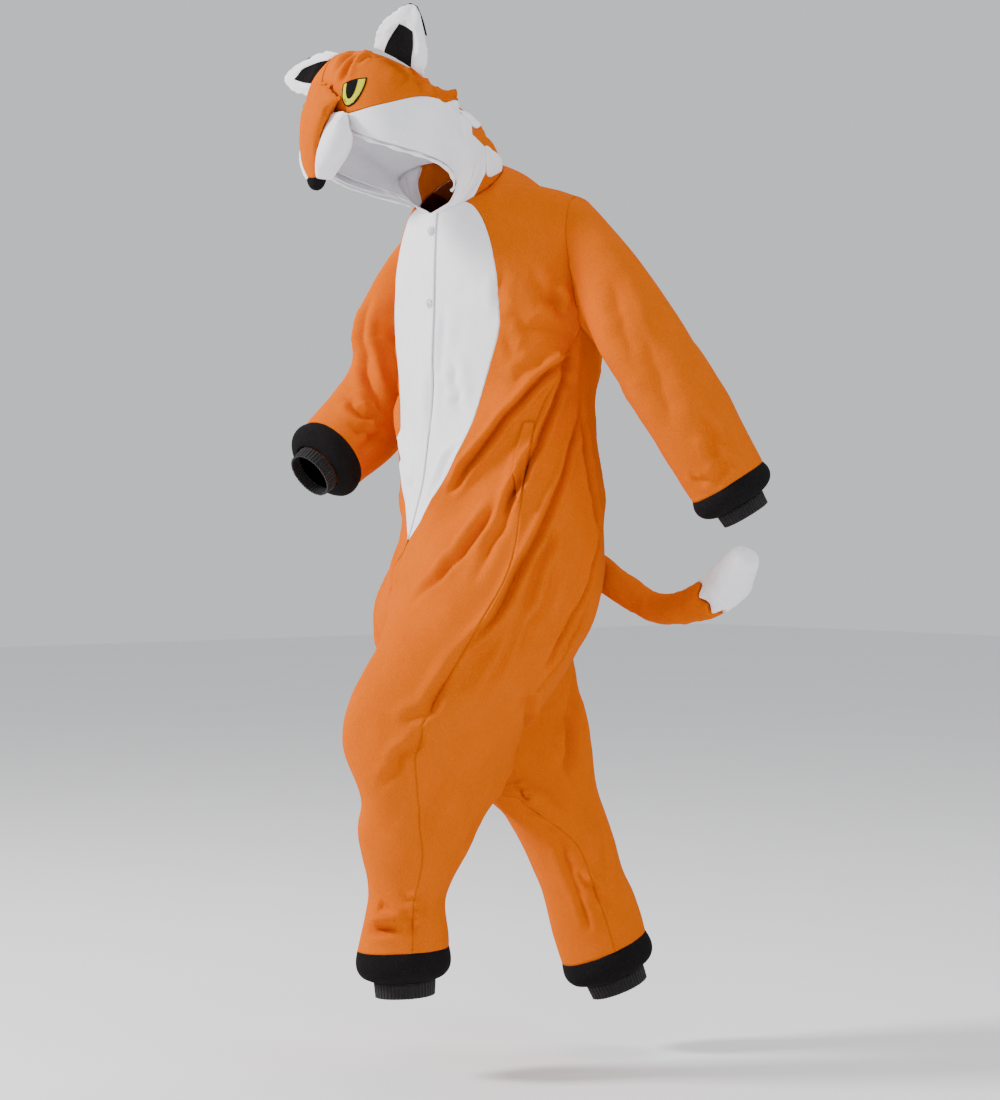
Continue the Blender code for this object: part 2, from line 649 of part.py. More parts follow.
def cheek_arc(rise):
    """The arc that the white cheek reaches at a rise."""
    return straight(CHEEK_EDGE, rise)


def hood_grids(side, inset=0.0):
    """Columns run from the face edge back; rows from the neck up to the centre seam."""
    last = len(neckline_angles()) - 1
    cheek = []
    crown = []
    for step in range(HOOD_STEPS + 1):
        rise = step / HOOD_STEPS
        edge = cheek_arc(rise)
        front = [edge * i / CHEEK_COLUMNS for i in range(CHEEK_COLUMNS + 1)]
        rest = last - CHEEK_COLUMNS
        power = 1.0 + CROWN_CROWDING * min(rise * 4.0, 1.0)
        rear = [edge + (last - edge) * (i / rest)**power for i in range(rest + 1)]
        cheek.append([hood_point(side, arc, rise, inset) for arc in front])
        crown.append([hood_point(side, arc, rise, inset) for arc in rear])
    return np.array(cheek), np.array(crown)


def lining_cloth():
    """The hood's lining, one piece from the left of the neck over the top to the right."""
    path = [(1, step / HOOD_STEPS) for step in range(LINING_START, HOOD_STEPS + 1)]
    path += [(-1, step / HOOD_STEPS) for step in range(HOOD_STEPS - 1, LINING_START - 1, -1)]
    grid = [[hood_point(side, arc, rise) for arc in LINING_ARCS] for side, rise in path]
    cloth = Cloth("hood_lining", np.array(grid), "white_fleece")
    cloth.wall = LINING
    cloth.lift -= LINING_SET
    return cloth


# ---- small forms -----------------------------------------------------------
def capped(rings, start, end):
    """Vertices and faces of a closed form through rings, with a middle point at each end."""
    rings = np.array(rings)
    rows, columns = rings.shape[:2]
    vertices = np.vstack((rings.reshape(-1, 3), [start], [end]))
    faces = []
    for r in range(rows - 1):
        for c in range(columns):
            d = (c + 1) % columns
            quad = [r * columns + c, r * columns + d, (r + 1) * columns + d, (r + 1) * columns + c]
            if (vertices[quad[1]] - vertices[quad[0]]).dot(RIM_SPLIT) < 0.0:
                quad = quad[1:] + quad[:1]
            faces.append(tuple(quad))
    first = rows * columns
    last = (rows - 1) * columns
    for c in range(columns):
        d = (c + 1) % columns
        faces.append((d, c, first))
        faces.append((last + c, last + d, first + 1))
    return vertices, faces


def muzzle_foot(along, across):
    """A point of the muzzle's back, on the hood; the footprint is a disc of radius 1."""
    arc = MUZZLE_FOOT["arc"] + MUZZLE_FOOT["arc_reach"] * along
    rise = 1.0 - MUZZLE_FOOT["rise_reach"] * abs(across)
    side = 1 if across >= 0.0 else -1
    return hood_point(side, arc, rise) + hood_outward(side, arc, rise) * MUZZLE_SEAT


def muzzle_way(station):
    """The muzzle's direction at a station, as forward and up."""
    behind = lookup(MUZZLE_ROWS, max(station - 0.05, 0.0))[:2]
    ahead = lookup(MUZZLE_ROWS, min(station + 0.05, 1.0))[:2]
    return (ahead - behind) / np.linalg.norm(ahead - behind)


def muzzle_point(station, angle, puff):
    """A point of the muzzle; the angle runs from the top to the left."""
    a = math.radians(angle)
    forward, up, half_height, half_width = lookup(MUZZLE_ROWS, station)
    if math.cos(a) < 0.0:
        half_height *= straight(MUZZLE_UNDER, station)
    way = muzzle_way(station)
    tall = (half_height + puff) * math.cos(a)
    wide = (half_width + puff) * math.sin(a)
    return hood_place(forward - way[1] * tall, up + way[0] * tall, wide)


def hood_outward(side, arc, rise):
    """The outward direction of the hood at a place."""
    step = 0.02
    rise = min(rise, 1.0 - step)
    arc = min(max(arc, step), 12.0 - step)
    along = hood_point(side, arc, rise + step) - hood_point(side, arc, rise - step)
    across = hood_point(side, arc + step, rise) - hood_point(side, arc - step, rise)
    normal = np.cross(across, along) * side
    return normal / np.linalg.norm(normal)


def muzzle_angles(part, cells, station):
    """Angles of a wedge's points at a station; part 0 is the bridge between the two pads."""
    seam = straight(MUZZLE_SEAM, station)
    low, high = (-seam, seam) if part == 0 else (seam, 180.0 - MUZZLE_PARTING)
    angles = np.linspace(low + MUZZLE_MARGIN, high - MUZZLE_MARGIN, cells + 1)
    return angles if part >= 0 else -angles[::-1]


def wedge_ring(edge, core):
    """A wedge's section: its outer edge, then its two straight sides that meet at the core."""
    return np.vstack((edge, [0.5 * (edge[-1] + core)], [core], [0.5 * (edge[0] + core)]))


def muzzle_sector(part, cells, puff):
    """A stuffed wedge of the muzzle."""
    ahead, up_way, left = hood_axes()
    off = (up_way if part == 0 else left * part - up_way * 0.6) * MUZZLE_CORE
    angles = np.radians(muzzle_angles(part, cells, 0.0))
    print_edge = np.stack((np.cos(angles), np.sin(angles)), axis=1)
    footprint = wedge_ring(print_edge, np.zeros(2))
    middle = footprint.mean(axis=0)
    rings = []
    for share in MUZZLE_RINGS + (1.0,):
        spots = middle + (footprint - middle) * share
        rings.append(np.array([muzzle_foot(along, across) + off for along, across in spots]))
    for station in np.linspace(MUZZLE_START, 1.0, MUZZLE_STATIONS):
        fullness = max(math.sin(math.pi * station), 0.0) ** 1.5
        edge = []
        for index, angle in enumerate(muzzle_angles(part, cells, station)):
            swell = puff * fullness * math.sin(math.pi * index / cells) ** 0.6
            edge.append(muzzle_point(station, angle, swell))
        forward, up = lookup(MUZZLE_ROWS, station)[:2]
        rings.append(wedge_ring(np.array(edge), hood_place(forward, up, 0.0) + off))
    start = muzzle_foot(*middle) + off
    return capped(rings, start, rings[-1].mean(axis=0))


def nose_form():
    """The nose: a low dome with a flat back at the muzzle's end."""
    forward, up = lookup(MUZZLE_ROWS, 1.0)[:2]
    way = muzzle_way(1.0)
    rings = []
    for turn in NOSE_TURNS:
        b = math.radians(turn)
        reach = NOSE_CLEAR + NOSE_LENGTH * math.sin(b)
        ring = []
        for step in range(NOSE_SIDES):
            a = 2.0 * math.pi * step / NOSE_SIDES
            tall = NOSE_HALF_HEIGHT * math.cos(b) * math.cos(a)
            ring.append(hood_place(forward + way[0] * reach - way[1] * tall,
                                   up + way[1] * reach + way[0] * tall,
                                   NOSE_HALF_WIDTH * math.cos(b) * math.sin(a)))
        rings.append(ring)
    start = np.mean(rings[0], axis=0)
    tip = NOSE_CLEAR + NOSE_LENGTH
    end = hood_place(forward + way[0] * tip, up + way[1] * tip, 0.0)
    return capped(rings, start, end)


def ear_frame(side):
    """Base middle, base direction, standing direction and front direction of an ear."""
    (arc_a, rise_a), (arc_b, rise_b) = EAR_BASE[side]
    start = hood_point(side, arc_a, rise_a)
    end = hood_point(side, arc_b, rise_b)
    f, u, l = hood_axes()
    forward, up, out = EAR_WAY[side]
    stand = f * forward + u * up + l * out * side
    stand /= np.linalg.norm(stand)
    along = (end - start) / np.linalg.norm(end - start)
    front = np.cross(along, stand)
    front /= np.linalg.norm(front)
    return along, stand, front if front.dot(EAR_FACING) > 0.0 else -front


def ear_point(side, up, across):
    """A point of the ear's middle sheet; across runs from -1 to 1."""
    along, stand, _ = ear_frame(side)
    (arc_a, rise_a), (arc_b, rise_b) = EAR_BASE[side]
    share = 0.5 + 0.5 * across
    arc = arc_a + (arc_b - arc_a) * share
    rise = rise_a + (rise_b - rise_a) * share
    foot = hood_point(side, arc, rise) + hood_outward(side, arc, rise) * EAR_SEAT
    arc_m = 0.5 * (arc_a + arc_b)
    rise_m = 0.5 * (rise_a + rise_b)
    middle = hood_point(side, arc_m, rise_m) + hood_outward(side, arc_m, rise_m) * EAR_SEAT
    width = straight(EAR_WIDTH, up)
    flat = middle + along * EAR_SPREAD * across * width + stand * EAR_LENGTH[side] * up
    keep = max(1.0 - up * 4.0, 0.0)
    return keep * (foot + stand * EAR_LENGTH[side] * up) + (1.0 - keep) * flat


def ear_layer(side, rows, columns, back, front):
    """A layer of an ear between two distances from the middle sheet."""
    normal = ear_frame(side)[2]
    sheet = []
    for up in rows:
        cup = EAR_CUP * min(up * 3.0, 1.0) * (1.0 - 0.5 * up)
        sheet.append([ear_point(side, up, across) - normal * cup * (1.0 - across * across)
                      for across in columns])
    sheet = np.array(sheet)
    ways = grid_normals(sheet, False, False)
    if ways.reshape(-1, 3).mean(axis=0).dot(normal) < 0.0:
        ways = -ways
    lifts = np.array([[front(up, across) for across in columns] for up in rows])
    drops = np.array([[back(up, across) for across in columns] for up in rows])
    return wall_mesh(sheet + ways * lifts[..., None], sheet + ways * drops[..., None], False)


def ear_forms(side):
    """The four layers of one ear with their finishes."""
    word = SIDES[side]
    rows = np.linspace(0.0, 1.0, EAR_ROWS + 1)
    low = rows[:EAR_TIP_ROW + 1].copy()
    low[-1] -= 2.0 * SEAM_GAP / EAR_LENGTH[side]
    high = rows[EAR_TIP_ROW:]
    columns = np.linspace(-1.0, 1.0, 2 * EAR_HALF_COLUMNS + 1)

    def pad(up, across):
        edge = (1.0 - across**4) * min(up * 8.0 + 0.15, 1.0) * min((1.0 - up) * 5.0 + 0.1, 1.0)
        dish = 0.55 * (1.0 - across**2) * math.sin(math.pi * min(max(up / 0.8, 0.0), 1.0))
        return 0.0016 + EAR_PAD * edge * (1.0 - dish)

    def behind(_up, _across):
        return -FLEECE

    def sheet(_up, _across):
        return 0.0

    def clear(_up, _across):
        return SEAM_GAP

    def over(up, across):
        return pad(up, across) + EAR_INNER_CLEAR

    def over_top(up, across):
        return over(up, across) + EAR_INNER_WALL

    inner_rows = rows[1:-2]
    narrow = columns[2:-2]
    return (
        (f"ear_back_{word}", ear_layer(side, low, columns, behind, sheet), "orange_fleece"),
        (f"ear_tip_{word}", ear_layer(side, high, columns, behind, sheet), "black_fleece"),
        (f"ear_front_{word}", ear_layer(side, rows, columns, clear, pad), "white_fleece"),
        (f"ear_inner_{word}", ear_layer(side, inner_rows, narrow, over, over_top), "black_fleece"),
    )


def eye_places(start, end, width):
    """Arc and rise of the points of an eye's layer, in rows from its top down."""
    rows = []
    for row in range(EYE_CELLS + 1):
        down = start + (end - start) * row / EYE_CELLS
        half = straight(EYE_OUTLINE, down) * width
        line = []
        for column in range(EYE_CELLS + 1):
            across = half * (2.0 * column / EYE_CELLS - 1.0)
            line.append((EYE["top"][0] + EYE["down"][0] * down + EYE["out"][0] * across,
                         EYE["top"][1] + EYE["down"][1] * down + EYE["out"][1] * across))
        rows.append(line)
    return rows


def eye_form(side, crown, layer):
    """One layer of an eye, laid on the faces of the crown."""
    _, start, end, width, lift, _ = layer
    corners = [tuple(v.co + Vector((0.0, 0.0, SHOULDER_HEIGHT))) for v in crown.data.vertices]
    tree = BVHTree.FromPolygons(corners, [tuple(f.vertices) for f in crown.data.polygons])
    inner = []
    outer = []
    for line in eye_places(start, end, width):
        below = []
        above = []
        for arc, rise in line:
            way = hood_outward(side, arc, rise)
            start_point = hood_point(side, arc, rise) + way * EYE_DROP
            place = tree.ray_cast(Vector(start_point), Vector(-way))[0]
            below.append(np.array(place) + way * lift)
            above.append(np.array(place) + way * (lift + EYE_WALL))
        inner.append(below)
        outer.append(above)
    return wall_mesh(np.array(outer), np.array(inner), False)


def tail_rings():
    """Rings along the tail; the first lies on the back's seam."""
    shares = [0.0] + list(np.linspace(TAIL_START, 1.0, TAIL_STATIONS))
    table = np.array([lookup(TAIL_ROWS, s) for s in shares])
    centres = table[:, :3]
    ways = np.gradient(centres, axis=0)
    ways /= np.linalg.norm(ways, axis=1)[:, None]
    side = np.array(turned(0.0, 1.0, STRIDE_TURN) + (0.0,))
    outward = np.array(turned(-1.0, 0.0, STRIDE_TURN) + (0.0,))
    rings = []
    for centre, way, row in zip(centres, ways, table):
        side = side - way * side.dot(way)
        side /= np.linalg.norm(side)
        up = np.cross(side, way)
        if up[2] < 0.0:
            up = -up
        ring = []
        for step in range(TAIL_SIDES):
            a = 2.0 * math.pi * step / TAIL_SIDES
            ring.append(centre + row[3] * (up * math.cos(a) + side * math.sin(a)))
        rings.append(np.array(ring))
    foot = []
    for step in range(TAIL_SIDES):
        a = 2.0 * math.pi * step / TAIL_SIDES
        height = TAIL_FOOT["height"] + TAIL_FOOT["rise"] * math.cos(a)
        half = 1 if math.sin(a) >= 0.0 else -1
        girth = 1.0 - TAIL_FOOT["girth"] * abs(math.sin(a))
        point = body_point(half, height, girth)
        foot.append(point + outward * 2.0 * LAID_ON)
    rings[0] = np.array(foot)
    return rings, ways, outward


def tail_forms():
    """The stuffed tail and its white tip, which meet in a zigzag."""
    rings, ways, outward = tail_rings()
    border = rings[TAIL_TIP_FROM].copy()
    way = ways[TAIL_TIP_FROM]
    for step in range(TAIL_SIDES):
        border[step] += way * TAIL_ZIGZAG * (1.0 if step % 2 else -1.0)
    middle = border.mean(axis=0)
    start = rings[0].mean(axis=0) + outward * TAIL_HOLLOW
    tail = capped(rings[:TAIL_TIP_FROM] + [border], start, middle)
    tip = [border + way * SEAM_GAP * 1.6] + rings[TAIL_TIP_FROM + 1:]
    end = rings[-1].mean(axis=0) + ways[-1] * 0.016
    return (
        ("tail", tail, "orange_fleece"),
        ("tail_tip", capped(tip, middle + way * SEAM_GAP * 1.6, end), "white_fleece"),
    )


def hem_form():
    """The rolled hem round the face opening, from the neck over the brow and back."""
    rises = np.linspace(HEM_START, 1.0, HOOD_STEPS + 1)
    path = [(1, rise) for rise in rises] + [(-1, rise) for rise in rises[-2::-1]]
    edges = np.array([hood_point(side, 0.0, rise) for side, rise in path])
    ahead = edges - np.array([hood_point(side, 0.1, rise) for side, rise in path])
    along = np.gradient(edges, axis=0)
    along /= np.linalg.norm(along, axis=1)[:, None]
    ahead -= along * (ahead * along).sum(axis=1)[:, None]
    ahead /= np.linalg.norm(ahead, axis=1)[:, None]
    rings = []
    clear = [HEM_CLEAR + HEM_SPREAD * smooth(0.32, 0.12, rise) for _, rise in path]
    centres = edges + ahead * (HEM_RADIUS + np.array(clear))[:, None]
    ways = np.gradient(centres, axis=0)
    ways /= np.linalg.norm(ways, axis=1)[:, None]
    for (side, rise), centre, way in zip(path, centres, ways):
        out = hood_outward(side, 0.0, max(rise, 0.04))
        out = out - way * out.dot(way)
        out /= np.linalg.norm(out)
        other = np.cross(way, out)
        ring = []
        for step in range(HEM_SIDES):
            a = 2.0 * math.pi * step / HEM_SIDES
            ring.append(centre + HEM_RADIUS * (out * math.cos(a) + other * math.sin(a)))
        rings.append(ring)
    return capped(rings, centres[0], centres[-1])


def snap_form(lap, height):
    """A snap's cap on the belly's lap."""
    outer = lap.outer()
    share = SNAP_INSET / LAP
    line = outer[:, 0] + (outer[:, 1] - outer[:, 0]) * share
    centre = np.array([np.interp(height, line[:, 2], line[:, i]) for i in range(3)])
    way = np.array([np.interp(height, line[:, 2], lap.normals[:, 0, i]) for i in range(3)])
    way /= np.linalg.norm(way)
    side = np.cross(way, (0.0, 0.0, 1.0))
    side /= np.linalg.norm(side)
    up = np.cross(side, way)
    rings = []
    for lift, size in SNAP_PROFILE:
        ring = []
        for step in range(SNAP_SIDES):
            a = 2.0 * math.pi * step / SNAP_SIDES
            arm = side * math.cos(a) + up * math.sin(a)
            ring.append(centre + way * lift + arm * SNAP_RADIUS * size)
        rings.append(ring)
    return capped(rings, centre + way * SNAP_PROFILE[0][0], centre + way * SNAP_DISH)


# ---- turning grids into solids --------------------------------------------
def grid_normals(grid, closed, flip):
    """Outward directions at the points of a grid."""
    if closed:
        wrapped = np.concatenate((grid[:, -1:], grid, grid[:, :1]), axis=1)
        across = (wrapped[:, 2:] - wrapped[:, :-2]) / 2.0
    else:
        across = np.gradient(grid, axis=1)
    along = np.gradient(grid, axis=0)
    normal = np.cross(across, along)
    size = np.linalg.norm(normal, axis=2)[..., None]
    normal = normal / np.maximum(size, 1e-12)
    return -normal if flip else normal


class Cloth:
    """One sewn piece: a grid of points on the outside of the cloth."""

    def __init__(self, name, grid, colour, closed=False, flip=False):
        self.name = name
        self.grid = grid
        self.colour = colour
        self.closed = closed
        self.flip = flip
        self.wall = FLEECE
        self.gap = SEAM_GAP
        self.lift = np.zeros(grid.shape[:2])      # of the whole wall
        self.relief = np.zeros(grid.shape[:2])    # of its outer points only
        self.normals = grid_normals(grid, closed, flip)

    def outer(self):
        """The points on the outside, drawn in at the seams."""
        plain = drawn_in(self.grid, self.closed, self.gap)
        return plain + self.normals * self.lift[..., None]


def share_normals(cloths):
    """Give pieces that meet at a seam the same outward direction there."""
    crotch = body_point(1, CROTCH, 0.0)
    sums = {}
    for cloth in cloths:
        for point, normal in zip(cloth.grid.reshape(-1, 3), cloth.normals.reshape(-1, 3)):
            key = tuple(np.round(point * 20000.0).astype(int))
            sums[key] = sums.get(key, 0.0) + normal
    for cloth in cloths:
        flat = cloth.normals.reshape(-1, 3).copy()
        for index, point in enumerate(cloth.grid.reshape(-1, 3)):
            key = tuple(np.round(point * 20000.0).astype(int))
            total = sums[key]
            if np.linalg.norm(point - crotch) < 1e-4:
                total = np.array((0.0, 0.0, -1.0))
            flat[index] = total / max(float(np.linalg.norm(total)), 1e-9)
        cloth.normals = flat.reshape(cloth.grid.shape)


def drawn_in(grid, closed, gap):
    """Draw a piece's edges back by half of the gap at a seam."""
    result = grid.copy()
    edges = [(0, 1, 0), (-1, -2, 0)]
    if not closed:
        edges += [(0, 1, 1), (-1, -2, 1)]
    for edge, inner, axis in edges:
        line = np.take(grid, edge, axis=axis)
        towards = np.take(grid, inner, axis=axis) - line
        size = np.linalg.norm(towards, axis=1)[:, None]
        move = towards / np.maximum(size, 1e-9) * np.minimum(gap / 2.0, size * 0.3)
        if axis == 0:
            result[edge] += move
        else:
            result[:, edge] += move
    return result


def wall_mesh(outer, inner, closed):
    """Vertices and faces of a closed wall between an outer and an inner grid."""
    rows, columns = outer.shape[:2]
    count = rows * columns
    vertices = np.vstack((outer.reshape(-1, 3), inner.reshape(-1, 3)))
    wrap = columns if closed else columns - 1
    faces = []
    for r in range(rows - 1):
        for c in range(wrap):
            d = (c + 1) % columns
            quad = (r * columns + c, r * columns + d, (r + 1) * columns + d, (r + 1) * columns + c)
            faces.append(quad)
            faces.append(tuple(count + quad[i] for i in (2, 1, 0, 3)))
    last = (rows - 1) * columns
    rim = []
    for c in range(wrap):
        d = (c + 1) % columns
        rim.append((d, c))
        rim.append((last + c, last + d))
    if not closed:
        for r in range(rows - 1):
            a, b = r * columns, (r + 1) * columns
            rim.append((a, b))
            rim.append((b + columns - 1, a + columns - 1))
    for a, b in rim:
        if (vertices[b] - vertices[a]).dot(RIM_SPLIT) > 0.0:
            faces.append((a, b, count + a))
            faces.append((b, count + b, count + a))
        else:
            faces.append((a, b, count + b))
            faces.append((a, count + b, count + a))
    return vertices, faces


MATERIALS = {  # base colour, roughness
    "orange_fleece": ((0.86, 0.24, 0.025), 0.92),
    "white_fleece": ((0.86, 0.85, 0.88), 0.92),
    "black_fleece": ((0.012, 0.011, 0.012), 0.95),
    "black_rib": ((0.010, 0.010, 0.011), 0.90),
    "yellow_felt": ((0.72, 0.68, 0.03), 0.85),
    "clear_snap": ((0.80, 0.80, 0.82), 0.25),
}


def material(node, finish):
    """The node's own material."""
    colour, roughness = MATERIALS[finish]
    made = bpy.data.materials.new(f"{finish}.{node}")
    made.use_nodes = True
    shader = made.node_tree.nodes["Principled BSDF"]
    shader.inputs["Base Color"].default_value = (*colour, 1.0)
    shader.inputs["Roughness"].default_value = roughness
    shader.inputs["Metallic"].default_value = 0.0
    return made


def add_object(name, vertices, faces, finish):
    """Make a named object from vertices above the ground, moved to the frame's origin."""
    placed = np.array(vertices) - (0.0, 0.0, SHOULDER_HEIGHT)
    mesh = bpy.data.meshes.new(name)
    mesh.from_pydata([tuple(v) for v in placed], [], faces)
    work = bmesh.new()
    work.from_mesh(mesh)
    bmesh.ops.recalc_face_normals(work, faces=work.faces)
    work.to_mesh(mesh)
    work.free()
    mesh.shade_smooth()
    mesh.materials.append(material(name, finish))
    made = bpy.data.objects.new(name, mesh)
    bpy.context.scene.collection.objects.link(made)
    return made


def add_cloth(cloth):
    """Make the wall of one piece of cloth."""
    outer = cloth.outer()
    inner = outer - cloth.normals * cloth.wall
    outer = outer + cloth.normals * cloth.relief[..., None]
    vertices, faces = wall_mesh(outer, inner, cloth.closed)
    return add_object(cloth.name, vertices, faces, cloth.colour)


SIDES = {1: "left", -1: "right"}


def body_cloths():
    """Front, back and belly panels, sleeves, bands and ribs."""
    cloths = []
    for side, word in SIDES.items():
        front, belly = front_grids(side)
        back = back_grid(side)
        flip = side == -1
        cloths.append(Cloth(f"front_{word}", front, "orange_fleece", flip=flip))
        cloths.append(Cloth(f"back_{word}", back, "orange_fleece", flip=flip))
        if side == -1:
            belly = with_lap(belly)
        cloths.append(Cloth(f"belly_{word}", belly, "white_fleece", flip=flip))
        if side == -1:
            cloths[-1].lift[:, :2] = LAP_RAISE
        cloths.append(pocket_cloth(side, front))
        first = len(body_heights(side)) - 1
        hole = [front[first + i, -1] for i in range(YOKE_ROWS + 1)]
        hole += [back[first + i, 0] for i in range(YOKE_ROWS - 1, 0, -1)]
        sleeve = sleeve_grid(side, np.array(hole))
        cloths.append(Cloth(f"sleeve_{word}", sleeve, "orange_fleece", closed=True, flip=not flip))
        way = ring_way(sleeve[-1], sleeve[-1].mean(axis=0) - sleeve[-2].mean(axis=0))
        band = end_rings(sleeve[-1], way, WRIST_BAND)
        cloths.append(Cloth(f"wrist_band_{word}", band, "black_fleece", closed=True, flip=not flip))
        cloths.append(rib_cloth(f"wrist_rib_{word}", sleeve[-1], way, WRIST_RIB, not flip))
        leg = np.concatenate((front[0], back[0, 1:-1]))
        way = ring_way(leg, (0.0, 0.0, -1.0))
        band = end_rings(leg, way, ANKLE_BAND)
        cloths.append(Cloth(f"ankle_band_{word}", band, "black_fleece", closed=True, flip=not flip))
        cloths.append(rib_cloth(f"ankle_rib_{word}", leg, way, ANKLE_RIB, not flip))
    return cloths


def hood_cloths():
    """Crown and cheeks."""
    cloths = []
    for side, word in SIDES.items():
        cheek, crown = hood_grids(side)
        flip = side == -1
        cloths.append(Cloth(f"cheek_{word}", cheek, "white_fleece", flip=flip))
        cloths.append(Cloth(f"crown_{word}", crown, "orange_fleece", flip=flip))
        cloths[-1].gap = CROWN_GAP
    return cloths


def add_face(crowns):
    """Muzzle, nose and eyes."""
    for name, (part, cells, puff, finish) in MUZZLE_SECTORS.items():
        add_object(name, *muzzle_sector(part, cells, puff), finish)
    add_object("nose", *nose_form(), "black_fleece")
    for side, word in SIDES.items():
        for layer in EYE_LAYERS:
            add_object(f"{layer[0]}_{word}", *eye_form(side, crowns[side], layer), layer[-1])


def add_ears():
    """Both ears."""
    for side in SIDES:
        for name, form, finish in ear_forms(side):
            add_object(name, *form, finish)


def main():
    """Build the suit."""
    for old in list(bpy.data.objects):
        bpy.data.objects.remove(old, do_unlink=True)
    cloths = body_cloths() + hood_cloths()
    share_normals(cloths)
    made = {}
    for cloth in cloths + [lining_cloth()]:
        made[cloth.name] = add_cloth(cloth)
    for index, height in enumerate(SNAPS, start=1):
        lap = next(cloth for cloth in cloths if cloth.name == "belly_right")
        add_object(f"snap_{index}", *snap_form(lap, height), "clear_snap")
    add_object("face_hem", *hem_form(), "white_fleece")
    add_face({side: made[f"crown_{word}"] for side, word in SIDES.items()})
    add_ears()
    for name, form, finish in tail_forms():
        add_object(name, *form, finish)


main()
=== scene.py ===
"""Fox onesie, worn: soft cloth, stuffed pieces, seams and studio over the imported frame."""
import logging
import math
from collections.abc import Iterator
from contextlib import contextmanager
from dataclasses import dataclass, field
from enum import Enum

import bmesh
import bpy
import numpy as np
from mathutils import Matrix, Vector, noise
from mathutils.kdtree import KDTree


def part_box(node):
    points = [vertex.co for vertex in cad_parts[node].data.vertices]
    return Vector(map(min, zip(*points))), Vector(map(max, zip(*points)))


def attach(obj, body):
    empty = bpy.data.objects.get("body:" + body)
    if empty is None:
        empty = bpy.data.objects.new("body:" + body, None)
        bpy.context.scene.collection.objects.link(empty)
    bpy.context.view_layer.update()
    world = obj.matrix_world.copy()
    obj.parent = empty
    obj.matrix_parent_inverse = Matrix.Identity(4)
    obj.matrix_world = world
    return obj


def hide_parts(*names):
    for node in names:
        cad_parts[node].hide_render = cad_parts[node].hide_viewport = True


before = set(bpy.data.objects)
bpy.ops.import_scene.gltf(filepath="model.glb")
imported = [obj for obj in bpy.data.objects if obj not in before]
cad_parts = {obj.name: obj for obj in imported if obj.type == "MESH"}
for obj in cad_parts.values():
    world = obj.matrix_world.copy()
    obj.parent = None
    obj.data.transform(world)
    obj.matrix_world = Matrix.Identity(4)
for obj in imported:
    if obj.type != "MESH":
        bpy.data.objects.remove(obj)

LOG = logging.getLogger("onesie")
BODY = "root"
WELD = 2e-5                 # distance at which two corners of a solid are one
FLOOR_HEIGHT = -1.46        # of the ground under the origin between the shoulders

Point = tuple[float, float, float]


class Colour(Enum):
    """Base colours of the onesie's cloths and trims, in linear light."""

    ORANGE = (0.62, 0.115, 0.0003, 1.0)
    ORANGE_DEEP = (0.52, 0.086, 0.0002, 1.0)
    ORANGE_PALE = (0.70, 0.148, 0.0006, 1.0)
    WHITE = (0.88, 0.88, 0.92, 1.0)
    WHITE_SHADE = (0.80, 0.79, 0.85, 1.0)
    WHITE_PALE = (0.95, 0.95, 0.97, 1.0)
    BLACK = (0.0100, 0.0092, 0.0096, 1.0)
    BLACK_SHADE = (0.0058, 0.0052, 0.0056, 1.0)
    BLACK_PALE = (0.020, 0.018, 0.019, 1.0)
    YELLOW = (0.60, 0.575, 0.022, 1.0)
    YELLOW_SHADE = (0.42, 0.40, 0.012, 1.0)
    YELLOW_PALE = (0.75, 0.72, 0.06, 1.0)
    CLEAR = (0.78, 0.78, 0.82, 1.0)
    FLOOR = (0.86, 0.86, 0.87, 1.0)


